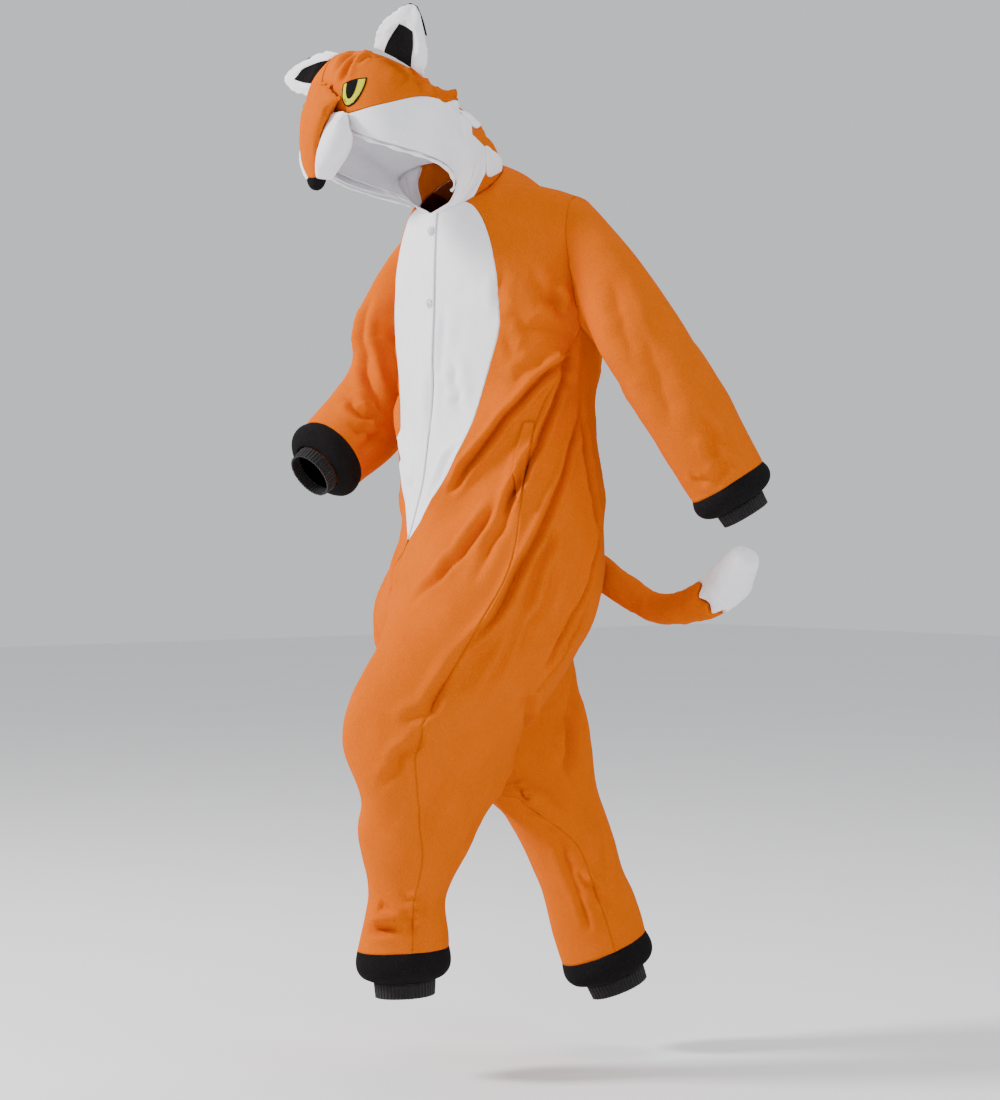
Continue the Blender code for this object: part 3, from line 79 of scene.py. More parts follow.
# ---- finishes ---------------------------------------------------------------
class NodeSheet:
    """A material's node tree with short calls to add and join nodes."""

    MIX_COLOURS = (6, 7)        # a colour mix's two inputs
    MIX_RESULT = 2              # its output

    def __init__(self, name: str) -> None:
        """Start a material with an empty tree, an output and a Principled shader.

        Args:
            name: the material's name.
        """
        self.material = bpy.data.materials.new(name)
        self.material.use_nodes = True
        self.tree = self.material.node_tree
        self.tree.nodes.clear()
        self.output = self.add("ShaderNodeOutputMaterial")
        self.shader = self.add("ShaderNodeBsdfPrincipled")
        self.join(self.shader, "BSDF", self.output, "Surface")
        self.place = self.add("ShaderNodeTexCoord")

    @staticmethod
    def result(node: bpy.types.Node) -> int:
        """Number of the output that holds a node's colour or value."""
        return NodeSheet.MIX_RESULT if node.bl_idname == "ShaderNodeMix" else 0

    def add(self, kind: str) -> bpy.types.Node:
        """Add a node of one kind."""
        return self.tree.nodes.new(kind)

    def join(self, start: bpy.types.Node, out: str | int, end: bpy.types.Node, into: str | int) -> None:
        """Join one node's output socket to another node's input socket."""
        self.tree.links.new(start.outputs[out], end.inputs[into])

    def grain(self, scale: float, detail: float, roughness: float = 0.55,
              stretch: Point = (1.0, 1.0, 1.0)) -> bpy.types.Node:
        """Add a noise texture in the object's own coordinates.

        Args:
            scale: features per metre.
            detail: octaves of noise.
            roughness: weight of the finer octaves.
            stretch: scale along each axis.

        Returns:
            The noise node.
        """
        mapping = self.add("ShaderNodeMapping")
        mapping.inputs["Scale"].default_value = stretch
        self.join(self.place, "Object", mapping, "Vector")
        node = self.add("ShaderNodeTexNoise")
        node.inputs["Scale"].default_value = scale
        node.inputs["Detail"].default_value = detail
        node.inputs["Roughness"].default_value = roughness
        self.join(mapping, "Vector", node, "Vector")
        return node

    def ramp(self, source: bpy.types.Node, stops: list[tuple[float, tuple]]) -> bpy.types.Node:
        """Add a colour ramp over a texture's factor.

        Args:
            source: the node whose factor drives the ramp.
            stops: place and colour of each stop.

        Returns:
            The ramp node.
        """
        node = self.add("ShaderNodeValToRGB")
        elements = node.color_ramp.elements
        elements[0].position, elements[0].color = stops[0]
        elements[1].position, elements[1].color = stops[-1]
        for position, colour in stops[1:-1]:
            elements.new(position).color = colour
        self.join(source, 0, node, "Fac")
        return node

    def mix(self, blend: str, factor: float, first: bpy.types.Node,
            second: bpy.types.Node) -> bpy.types.Node:
        """Add a colour mix of two nodes' first outputs.

        Args:
            blend: the blend type.
            factor: the share of the second.
            first: the node below.
            second: the node above.

        Returns:
            The mix node.
        """
        node = self.add("ShaderNodeMix")
        node.data_type = "RGBA"
        node.blend_type = blend
        node.inputs["Factor"].default_value = factor
        for source, socket in zip((first, second), self.MIX_COLOURS):
            self.join(source, self.result(source), node, socket)
        return node

    def bump(self, source: bpy.types.Node, distance: float, strength: float,
             below: bpy.types.Node | None = None) -> bpy.types.Node:
        """Add a bump from a texture, on top of another bump.

        Args:
            source: the height's node.
            distance: height in metres.
            strength: from 0 to 1.
            below: the bump that it adds to.

        Returns:
            The bump node.
        """
        node = self.add("ShaderNodeBump")
        node.inputs["Distance"].default_value = distance
        node.inputs["Strength"].default_value = strength
        self.join(source, 0, node, "Height")
        if below is not None:
            self.join(below, 0, node, "Normal")
        return node

    def done(self, colour: bpy.types.Node, bump: bpy.types.Node | None,
             values: dict[str, float | tuple]) -> bpy.types.Material:
        """Join a colour and a bump to the shader, and set its other inputs.

        Args:
            colour: the node of the base colour.
            bump: the node of the bump, if it has one.
            values: input's name to its value.

        Returns:
            The material.
        """
        self.join(colour, self.result(colour), self.shader, "Base Color")
        if bump is not None:
            self.join(bump, 0, self.shader, "Normal")
        for name, value in values.items():
            self.shader.inputs[name].default_value = value
        return self.material


@dataclass(frozen=True)
class Fleece:
    """Brushed polyester fleece: short pile in soft clumps over a fine knit."""

    name: str
    base: Colour
    shade: Colour
    pale: Colour
    pile: float = 0.0009        # height of the pile's clumps
    clumps: float = 620.0       # per metre, as the two below
    sheen: float = 0.05
    rough: float = 0.95
    fuzz: float = 2600.0        # single hairs
    wear: float = 16.0          # patches pressed flat
    worn: float = 0.90          # brightness of a flat patch
    gloss: float = 0.05

    def make(self) -> bpy.types.Material:
        """Make the fleece's material.

        Returns:
            The material.
        """
        sheet = NodeSheet(self.name)
        nap = sheet.grain(self.clumps, 3.0, 0.6)
        fuzz = sheet.grain(self.fuzz, 2.0, 0.7)
        wear = sheet.grain(self.wear, 4.0, 0.5)
        tints = [(0.30, self.shade.value), (0.52, self.base.value), (0.74, self.pale.value)]
        patch = sheet.ramp(wear, [(0.35, (*[self.worn] * 3, 1.0)), (0.65, (1.0, 1.0, 1.0, 1.0))])
        colour = sheet.mix("MULTIPLY", 0.55, sheet.ramp(nap, tints), patch)
        bump = sheet.bump(fuzz, self.pile * 0.35, 0.5, sheet.bump(nap, self.pile, 0.55))
        return sheet.done(colour, bump, {
            "Roughness": self.rough, "Specular IOR Level": self.gloss, "Specular Tint": self.base.value,
            "Sheen Weight": self.sheen, "Sheen Roughness": 0.55, "Sheen Tint": self.pale.value})


@dataclass(frozen=True)
class RibKnit:
    """Stretchy ribbed cuff knit, with its rows of loops across the ribs."""

    name: str
    base: Colour
    shade: Colour

    def make(self) -> bpy.types.Material:
        """Make the rib knit's material.

        Returns:
            The material.
        """
        sheet = NodeSheet(self.name)
        loops = sheet.grain(1100.0, 2.0, 0.5, (1.0, 1.0, 0.45))
        lint = sheet.grain(380.0, 3.0)
        colour = sheet.ramp(loops, [(0.35, self.shade.value), (0.66, self.base.value)])
        bump = sheet.bump(lint, 0.0003, 0.4, sheet.bump(loops, 0.0005, 0.6))
        return sheet.done(colour, bump, {"Roughness": 0.9, "Sheen Weight": 0.12, "Specular IOR Level": 0.15})


@dataclass(frozen=True)
class Thread:
    """Sewing thread: two twisted strands."""

    name: str
    base: Colour
    shade: Colour

    def make(self) -> bpy.types.Material:
        """Make the thread's material.

        Returns:
            The material.
        """
        sheet = NodeSheet(self.name)
        strand = sheet.grain(2200.0, 1.0, 0.4, (1.0, 1.0, 0.3))
        colour = sheet.ramp(strand, [(0.35, self.shade.value), (0.6, self.base.value)])
        return sheet.done(colour, sheet.bump(strand, 0.0002, 0.6), {"Roughness": 0.7})


@dataclass(frozen=True)
class ClearPlastic:
    """Milky clear press-stud resin with faint moulding marks."""

    name: str
    base: Colour

    def make(self) -> bpy.types.Material:
        """Make the resin's material.

        Returns:
            The material.
        """
        sheet = NodeSheet(self.name)
        flow = sheet.grain(260.0, 3.0)
        pale = tuple(min(1.0, part * 1.18) for part in self.base.value)
        colour = sheet.ramp(flow, [(0.3, self.base.value), (0.7, pale)])
        return sheet.done(colour, sheet.bump(flow, 0.0001, 0.3),
                          {"Roughness": 0.22, "Transmission Weight": 0.55, "IOR": 1.46})


class Finish(Enum):
    """The onesie's finishes."""

    ORANGE = Fleece("orange_fleece", Colour.ORANGE, Colour.ORANGE_DEEP, Colour.ORANGE_PALE)
    WHITE = Fleece("white_fleece", Colour.WHITE, Colour.WHITE_SHADE, Colour.WHITE_PALE,
                   pile=0.0008, clumps=560.0, sheen=0.2)
    BLACK = Fleece("black_fleece", Colour.BLACK, Colour.BLACK_SHADE, Colour.BLACK_PALE,
                   pile=0.0008, clumps=640.0, sheen=0.1)
    FELT = Fleece("yellow_felt", Colour.YELLOW, Colour.YELLOW_SHADE, Colour.YELLOW_PALE,
                  pile=0.0004, clumps=1400.0, sheen=0.1)
    RIB = RibKnit("black_rib", Colour.BLACK_PALE, Colour.BLACK_SHADE)
    SNAP = ClearPlastic("clear_snap", Colour.CLEAR)
    ORANGE_THREAD = Thread("orange_thread", Colour.ORANGE_DEEP, Colour.ORANGE_DEEP)
    WHITE_THREAD = Thread("white_thread", Colour.WHITE, Colour.WHITE_SHADE)
    BLACK_THREAD = Thread("black_thread", Colour.BLACK_PALE, Colour.BLACK_SHADE)


# ---- meshes -----------------------------------------------------------------
def link(name: str, mesh: bpy.types.Mesh) -> bpy.types.Object:
    """Put a mesh in the scene as a smooth piece that rides on the onesie.

    Args:
        name: the piece's name.
        mesh: its mesh.

    Returns:
        The piece.
    """
    piece = bpy.data.objects.new(name, mesh)
    bpy.context.scene.collection.objects.link(piece)
    mesh.polygons.foreach_set("use_smooth", [True] * len(mesh.polygons))
    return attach(piece, BODY)


def read_rows(mesh: bpy.types.Mesh, what: str) -> np.ndarray:
    """Read one property of a mesh's points.

    Args:
        mesh: the mesh.
        what: the property's name.

    Returns:
        Rows of x, y, z.
    """
    flat = np.empty(len(mesh.vertices) * 3)
    mesh.vertices.foreach_get(what, flat)
    return flat.reshape(-1, 3)


def read_points(mesh: bpy.types.Mesh) -> np.ndarray:
    """Read where a mesh's points are."""
    return read_rows(mesh, "co")


def read_normals(mesh: bpy.types.Mesh) -> np.ndarray:
    """Read a mesh's point normals."""
    return read_rows(mesh, "normal")


def write_points(mesh: bpy.types.Mesh, points: np.ndarray) -> None:
    """Move a mesh's points to new places, given as rows of x, y, z."""
    mesh.vertices.foreach_set("co", np.ascontiguousarray(points).ravel())
    mesh.update()


def mesh_from(form: bmesh.types.BMesh, name: str) -> bpy.types.Mesh:
    """Turn a form that is being edited into a new mesh, and free it.

    Args:
        form: the form.
        name: the mesh's name.

    Returns:
        The mesh.
    """
    mesh = bpy.data.meshes.new(name)
    form.to_mesh(mesh)
    form.free()
    return mesh


@contextmanager
def edited(mesh: bpy.types.Mesh) -> Iterator[bmesh.types.BMesh]:
    """Open a mesh as a form, and write the form back to it at the end.

    Args:
        mesh: the mesh.

    Returns:
        The form, inside a with statement.
    """
    form = bmesh.new()
    form.from_mesh(mesh)
    yield form
    form.to_mesh(mesh)
    form.free()


def mesh_of(name: str, vertices: list, faces: list) -> bpy.types.Mesh:
    """Make a mesh from its corners and faces.

    Args:
        name: the mesh's name.
        vertices: place of each corner.
        faces: numbers of each face's corners.

    Returns:
        The mesh.
    """
    mesh = bpy.data.meshes.new(name)
    mesh.from_pydata([tuple(place) for place in vertices], [], faces)
    mesh.update()
    return mesh


def bands(rings: int, sides: int, first: int = 0) -> list[tuple[int, ...]]:
    """Name the four corners of each face between rings of points.

    Args:
        rings: number of rings.
        sides: points round each ring.
        first: number of the first ring's first point.

    Returns:
        The faces.
    """
    faces = []
    for ring in range(rings - 1):
        for step in range(sides):
            a, b = first + ring * sides + step, first + ring * sides + (step + 1) % sides
            faces.append((a, b, b + sides, a + sides))
    return faces


def evaluated(holder: bpy.types.Object) -> bpy.types.Mesh:
    """Apply an object's modifiers to a new mesh, and remove the object.

    Args:
        holder: the object.

    Returns:
        The new mesh.
    """
    graph = bpy.context.evaluated_depsgraph_get()
    result = bpy.data.meshes.new_from_object(holder.evaluated_get(graph))
    bpy.data.objects.remove(holder)
    return result


def held_by(mesh: bpy.types.Mesh) -> bpy.types.Object:
    """Put a mesh on a passing object, to change it with modifiers.

    Args:
        mesh: the mesh.

    Returns:
        The object.
    """
    holder = bpy.data.objects.new(mesh.name, mesh)
    bpy.context.scene.collection.objects.link(holder)
    return holder


def node_mesh(node: str) -> bpy.types.Mesh:
    """Copy a solid's mesh, welded and with its triangles paired into quads.

    Args:
        node: the solid's name.

    Returns:
        The new mesh.
    """
    form = bmesh.new()
    form.from_mesh(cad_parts[node].data)
    bmesh.ops.remove_doubles(form, verts=form.verts, dist=WELD)
    bmesh.ops.recalc_face_normals(form, faces=form.faces)
    bmesh.ops.join_triangles(form, faces=form.faces, angle_face_threshold=0.9, angle_shape_threshold=1.4)
    return mesh_from(form, node)


def refined(mesh: bpy.types.Mesh, levels: int, crease_angle: float) -> bpy.types.Mesh:
    """Subdivide a mesh smoothly, keeping its sharp rims.

    Args:
        mesh: the mesh to refine; it is removed.
        levels: how many times each face is divided.
        crease_angle: degrees above which an edge stays sharp.

    Returns:
        The refined mesh.
    """
    with edited(mesh) as form:
        crease = form.edges.layers.float.new("crease_edge")
        for edge in form.edges:
            if len(edge.link_faces) == 2 and edge.calc_face_angle(0.0) > math.radians(crease_angle):
                edge[crease] = 1.0
    holder = held_by(mesh)
    step = holder.modifiers.new("divide", "SUBSURF")
    step.levels = levels
    step.render_levels = levels
    step.use_limit_surface = False
    result = evaluated(holder)
    bpy.data.meshes.remove(mesh)
    return result


class Wardrobe:
    """Makes each finish once, and dresses pieces in it."""

    def __init__(self) -> None:
        """Start with nothing made."""
        self.made: dict[Finish, bpy.types.Material] = {}

    def dress(self, piece: bpy.types.Object, finish: Finish) -> bpy.types.Object:
        """Give a piece one finish.

        Args:
            piece: the piece.
            finish: its finish.

        Returns:
            The same piece.
        """
        if finish not in self.made:
            self.made[finish] = finish.value.make()
        piece.data.materials.clear()
        piece.data.materials.append(self.made[finish])
        return piece

    def place(self, name: str, mesh: bpy.types.Mesh, finish: Finish, *nodes: str) -> bpy.types.Object:
        """Put a mesh in the scene as a finished piece.

        Args:
            name: the piece's name.
            mesh: its mesh.
            finish: its finish.
            nodes: the solids that it stands for.

        Returns:
            The piece.
        """
        piece = self.dress(link(name, mesh), finish)
        if nodes:
            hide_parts(*nodes)
        LOG.info("%s: %d faces", name, len(mesh.polygons))
        return piece


# ---- creases ----------------------------------------------------------------
SPINES: dict[str, tuple[Point, ...]] = {
    "body": ((0.0, 0.0, -0.90), (0.0, 0.0, -0.02)),
    "left_leg": ((0.04, -0.12, -0.80), (0.02, -0.195, -1.02), (-0.002, -0.203, -1.31)),
    "right_leg": ((-0.06, 0.07, -0.80), (-0.05, 0.16, -1.02), (0.03, 0.24, -1.34)),
    "left_arm": ((0.205, 0.0, -0.125), (0.334, 0.072, -0.315), (0.400, 0.170, -0.53)),
    "right_arm": ((-0.205, 0.0, -0.125), (-0.286, -0.012, -0.30), (-0.275, -0.20, -0.47)),
    "hood": ((-0.01, -0.11, 0.02), (-0.03, -0.17, 0.12)),
}


def from_spines(points: np.ndarray, names: tuple[str, ...]) -> np.ndarray:
    """Directions from the nearest spine to each point.

    Args:
        points: the points.
        names: the spines that count.

    Returns:
        One vector for each point.
    """
    best = np.full(len(points), 1e9)
    away = np.zeros_like(points)
    for name in names:
        line = SPINES[name]
        for a, b in zip(line[:-1], line[1:]):
            start, way = np.array(a), np.array(b) - np.array(a)
            share = np.clip((points - start) @ way / (way @ way), 0.0, 1.0)
            offset = points - (start + share[:, None] * way)
            reach = np.linalg.norm(offset, axis=1)
            nearer = reach < best
            best[nearer] = reach[nearer]
            away[nearer] = offset[nearer]
    return away


@dataclass(frozen=True)
class Fold:
    """A crease: three places along it, then its depth and half width in metres."""

    start: Point
    middle: Point
    end: Point
    depth: float
    width: float

    def flipped(self, depth_share: float, shift: Point = (0.0, 0.0, 0.0)) -> "Fold":
        """The same crease on the onesie's other side, with a share of its depth, and shifted."""
        ends = [tuple(np.array((-x, y, z)) + shift) for x, y, z in (self.start, self.middle, self.end)]
        return Fold(*ends, self.depth * depth_share, self.width)


class ClothField:
    """Outward directions and folds that all cloth pieces share, so that seams stay closed."""

    OUTSIDE = 0.25          # least lean of a normal away from the spines that counts as outside
    NEIGHBOURS = 6          # points whose normals are blended into one direction
    NEARNESS = 0.004        # distance within which they weigh about the same
    CURVE_STEPS = 22        # points along a crease
    LONG = 0.15             # length of a crease that keeps its depth to its ends
    CORE = (0.35, 0.4)      # sharper line in the middle of a trough: share of its depth and width
    RIDGE = (0.60, 2.1, 1.1)    # swelling beside a trough: share of its depth, its place and width
    LEAN = 0.5              # how much more it swells above the trough than below
    SPREAD = 4.0            # widths over which a crease reaches

    def __init__(self, pieces: dict[str, tuple[str, ...]], folds: list[Fold]) -> None:
        """Gather the outside of the cloth solids.

        Args:
            pieces: solid's name to the spines inside it.
            folds: the creases.
        """
        places, normals = [], []
        for node, spines in pieces.items():
            mesh = refined(node_mesh(node), 1, 50.0)
            points, ways = read_points(mesh), read_normals(mesh)
            away = from_spines(points, spines)
            away /= np.linalg.norm(away, axis=1)[:, None] + 1e-9
            outside = np.einsum("ij,ij->i", ways, away) > self.OUTSIDE
            places.append(points[outside])
            normals.append(ways[outside])
            bpy.data.meshes.remove(mesh)
        self.places = np.vstack(places)
        self.normals = np.vstack(normals)
        self.tree = KDTree(len(self.places))
        for index, place in enumerate(self.places):
            self.tree.insert(place, index)
        self.tree.balance()
        self.lines = [(self.curve(fold), fold.depth, fold.width) for fold in folds]

    def snapped(self, place: np.ndarray) -> np.ndarray:
        """The outside point nearest to a place."""
        return self.places[self.tree.find(place)[1]]

    def curve(self, fold: Fold) -> np.ndarray:
        """Points along a fold, laid on the cloth.

        Args:
            fold: the fold.

        Returns:
            The points.
        """
        start, middle, end = (np.array(place) for place in (fold.start, fold.middle, fold.end))
        shares = np.linspace(0.0, 1.0, self.CURVE_STEPS)[:, None]
        bend = 2.0 * middle - 0.5 * (start + end)
        raw = (1 - shares) ** 2 * start + 2 * shares * (1 - shares) * bend + shares ** 2 * end
        laid = np.array([self.snapped(place) for place in raw])
        offset = laid - raw
        for _ in range(2):
            offset[1:-1] = (offset[:-2] + offset[1:-1] * 2.0 + offset[2:]) / 4.0
        return raw + offset

    def outward(self, points: np.ndarray) -> np.ndarray:
        """Smooth outward directions at points on or in the cloth.

        Args:
            points: the points.

        Returns:
            Unit vectors.
        """
        result = np.empty_like(points)
        for index, point in enumerate(points):
            total = np.zeros(3)
            for _, found, distance in self.tree.find_n(point, self.NEIGHBOURS):
                total += self.normals[found] / (self.NEARNESS + distance)
            result[index] = total
        return result / (np.linalg.norm(result, axis=1)[:, None] + 1e-9)

    def surfaced(self, points: np.ndarray, ways: np.ndarray, reach: float = 0.012) -> np.ndarray:
        """Points of the cloth's outside that lie over points in or under it.

        Args:
            points: the points.
            ways: the outward directions there.
            reach: the furthest that a point is moved.

        Returns:
            The points outside.
        """
        nearest = np.array([self.places[self.tree.find(point)[1]] for point in points])
        rise = np.einsum("ij,ij->i", nearest - points, ways)
        return points + ways * np.clip(rise, 0.0, reach)[:, None]

    def depth(self, points: np.ndarray) -> np.ndarray:
        """How far the folds press each point in (negative) or lift it (positive).

        Args:
            points: the points.

        Returns:
            Distances in metres.
        """
        total = np.zeros(len(points))
        for line, depth, width in self.lines:
            low, high = line.min(0) - self.SPREAD * width, line.max(0) + self.SPREAD * width
            near = np.nonzero(np.all((points > low) & (points < high), axis=1))[0]
            if not len(near):
                continue
            here = points[near]
            best = np.full(len(near), 1e9)
            along = np.zeros(len(near))
            side = np.zeros(len(near))
            for index, (a, b) in enumerate(zip(line[:-1], line[1:])):
                way = b - a
                share = np.clip((here - a) @ way / (way @ way + 1e-12), 0.0, 1.0)
                offset = here - (a + share[:, None] * way)
                reach = np.linalg.norm(offset, axis=1)
                nearer = reach < best
                best[nearer] = reach[nearer]
                along[nearer] = (index + share[nearer]) / (len(line) - 1)
                side[nearer] = offset[nearer, 2]
            full = float(np.clip(np.linalg.norm(line[-1] - line[0]) / self.LONG, 1.0, 2.0))
            fade = np.clip(full * np.sin(np.pi * np.clip(along, 0.0, 1.0)), 0.0, 1.0)
            core, core_width = self.CORE
            swell, place, breadth = self.RIDGE
            trough = -np.exp(-((best / width) ** 2)) - core * np.exp(-((best / (core_width * width)) ** 2))
            ridge = swell * np.exp(-((best - place * width) / (breadth * width)) ** 2)
            lean = 1.0 + self.LEAN * np.tanh(side / width)
            total[near] += depth * fade * (trough + ridge * lean)
        return total

    @staticmethod
    def slack(points: np.ndarray, height: float, size: float) -> np.ndarray:
        """Gentle unevenness of loose cloth.

        Args:
            points: the points.
            height: its height.
            size: its wavelength.

        Returns:
            Distances in metres.
        """
        values = np.empty(len(points))
        for index, (x, y, z) in enumerate(points):
            drawn = 0.62 * z + 0.3 * x      # longer waves down the cloth, and a little across it
            values[index] = noise.noise(Vector((x / size + 3.1, y / size + 7.7, drawn / size)))
        return values * height


# ---- cloth panels -------------------------------------------------------------
BODY_SPINES = {"left": ("body", "left_leg"), "right": ("body", "right_leg")}


def cloth_solids() -> dict[str, tuple[str, ...]]:
    """Name each cloth solid and the spines that run inside it.

    Returns:
        Solid's name to its spines.
    """
    solids: dict[str, tuple[str, ...]] = {}
    for side in ("left", "right"):
        for panel in ("front", "back", "belly"):
            solids[f"{panel}_{side}"] = BODY_SPINES[side]
        solids[f"sleeve_{side}"] = (f"{side}_arm",)
        for panel in ("cheek", "crown"):
            solids[f"{panel}_{side}"] = ("hood",)
    return solids


@dataclass(frozen=True)
class Cut:
    """A flat pattern piece: its width and length, and its area in square metres."""

    width: float
    length: float
    area: float

    def state(self, piece: bpy.types.Object, held: str) -> None:
        """Take a piece and how it is held; nothing is done with them."""


@dataclass
class Panels:
    """The sewn cloth pieces: subdivided walls with folds and slack pressed into them."""

    cloth: ClothField
    wardrobe: Wardrobe
    cuts: dict[str, Cut]
    held: dict[str, str]
    slack_height: float = 0.0032
    slack_size: float = 0.085
    crumple_height: float = 0.0011
    crumple_size: float = 0.026
    made: dict[str, bpy.types.Object] = field(default_factory=dict)

    def add(self, node: str, finish: Finish, levels: int, calm: float = 1.0, crease: float = 50.0,
            inset: float = 0.0, about: str = "") -> None:
        """Make one piece over its solid.

        Args:
            node: the solid's name.
            finish: the cloth.
            levels: how often the solid's faces are divided.
            calm: share of the slack that the piece has.
            crease: degrees above which an edge of the solid stays sharp.
            inset: share by which the piece is drawn in.
            about: the solid whose middle it is drawn towards.
        """
        mesh = refined(node_mesh(node), levels, crease)
        points = read_points(mesh)
        if about:
            low, high = (np.array(corner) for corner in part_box(about))
            points = points + (0.5 * (low + high) - points) * inset
        ways = self.cloth.outward(points)
        push = np.zeros(len(points))
        if calm > 0.0:
            above = self.cloth.surfaced(points, ways)
            push += self.cloth.depth(above)
            push += self.cloth.slack(above, self.slack_height * calm, self.slack_size)
            push += self.cloth.slack(above, self.crumple_height * calm, self.crumple_size)
        write_points(mesh, points + ways * push[:, None])
        piece = self.wardrobe.place(f"cloth_{node}", mesh, finish, node)
        self.cuts[node].state(piece, self.held.get(node, "hung"))
        self.made[node] = piece


# ---- stuffed pieces -----------------------------------------------------------
@dataclass(frozen=True)
class Filling:
    """How a piece is stuffed, in metres."""

    voxel: float            # size of the remesh
    cap: float              # how far it swells at most
    shrink: float           # how far it is drawn in first
    fill: float             # how full it is
    dimple: float = 0.0012  # height of the unevenness of its stuffing
    smoothing: int = 1      # how often its form is evened out first
    shift: Point = (0.0, 0.0, 0.0)
    grow: Point = (1.0, 1.0, 1.0)       # scale along each axis, about its middle


FILLINGS = {
    "bridge": Filling(0.004, 0.005, 0.0012, 0.7, 0.0012, 2, (0.007, 0.003, 0.002), (1.14, 1.04, 1.03)),
    "muzzle_left": Filling(0.004, 0.009, 0.0004, 0.8, 0.0012, 4, (0.008, 0.003, -0.007), (1.34, 1.20, 0.93)),
    "muzzle_right": Filling(0.004, 0.009, 0.0004, 0.8, 0.0012, 4, (0.004, 0.004, -0.008), (1.0, 1.0, 0.92)),
    "nose": Filling(0.0035, 0.004, 0.0006, 0.8, 0.0005, 2, (0.0, -0.001, 0.004), (1.08, 1.08, 1.35)),
    "ear_front": Filling(0.0022, 0.004, -0.0014, 0.5, 0.0012, 14, grow=(1.03, 1.03, 1.03)),
    "tail": Filling(0.006, 0.006, 0.0030, 0.6, 0.0032),
}


@dataclass
class Stuffed:
    """Cloth covers swollen over soft stuffing."""

    wardrobe: Wardrobe
    pressure: float = 4.0
    frames: int = 20
    cover_mass: float = 0.2
    tension: float = 18.0
    bending: float = 0.6
    fine: float = 0.003             # a remesh up to this size isn't divided again
    dimple_size: float = 0.034
    pucker_size: float = 0.012
    pucker_share: float = 0.4       # height beside a dimple's

    def swollen(self, mesh: bpy.types.Mesh, filling: Filling) -> bpy.types.Mesh:
        """Swell a closed form with a pressure run and cap each point's way.

        Args:
            mesh: the closed form.
            filling: how it is stuffed.

        Returns:
            The swollen mesh.
        """
        holder = held_by(mesh)
        remesh = holder.modifiers.new("remesh", "REMESH")
        remesh.mode = "VOXEL"
        remesh.voxel_size = filling.voxel
        form = evaluated(holder)
        with edited(form) as even:
            for _ in range(filling.smoothing):
                bmesh.ops.smooth_vert(even, verts=even.verts, factor=0.5, use_axis_x=True,
                                      use_axis_y=True, use_axis_z=True)
        points = read_points(form)
        start = points - read_normals(form) * filling.shrink
        write_points(form, start)
        holder = held_by(form)
        cloth = holder.modifiers.new("cloth", "CLOTH")
        cloth.settings.quality = 4
        cloth.settings.mass = self.cover_mass
        cloth.settings.tension_stiffness = self.tension
        cloth.settings.bending_stiffness = self.bending
        cloth.settings.use_pressure = True
        cloth.settings.uniform_pressure_force = self.pressure
        cloth.settings.effector_weights.gravity = 0.0
        cloth.collision_settings.use_collision = False
        cloth.point_cache.frame_end = self.frames
        scene = bpy.context.scene
        for step in range(1, self.frames + 1):
            scene.frame_set(step)
        result = evaluated(holder)
        scene.frame_set(1)
        return self.settled(result, read_points(result), start, filling.cap)

    @staticmethod
    def settled(mesh: bpy.types.Mesh, points: np.ndarray, start: np.ndarray, cap: float) -> bpy.types.Mesh:
        """Hold each point within a cap of its start.

        Args:
            mesh: the mesh to settle.
            points: where its points have moved.
            start: where they began.
            cap: the furthest a point may be from its start.

        Returns:
            The same mesh.
        """
        moved = points - start
        reach = np.linalg.norm(moved, axis=1)[:, None]
        write_points(mesh, start + moved * np.minimum(1.0, cap / (reach + 1e-9)))
        return mesh

    def add(self, name: str, node: str, finish: Finish, filling: Filling) -> bpy.types.Object:
        """Make one stuffed piece over its solid.

        Args:
            name: the piece's name.
            node: the solid that it stands for.
            finish: its cover.
            filling: how it is stuffed.

        Returns:
            The piece.
        """
        mesh = node_mesh(node)
        points = read_points(mesh)
        middle = 0.5 * (points.min(0) + points.max(0))
        write_points(mesh, middle + (points - middle) * np.array(filling.grow) + np.array(filling.shift))
        mesh = self.swollen(mesh, filling)
        if filling.voxel > self.fine:
            mesh = refined(mesh, 1, 180.0)
        points = read_points(mesh)
        lift = ClothField.slack(points, filling.dimple, self.dimple_size)
        lift += ClothField.slack(points, filling.dimple * self.pucker_share, self.pucker_size)
        write_points(mesh, points + read_normals(mesh) * lift[:, None])
        piece = self.wardrobe.place(name, mesh, finish, node)
        return piece


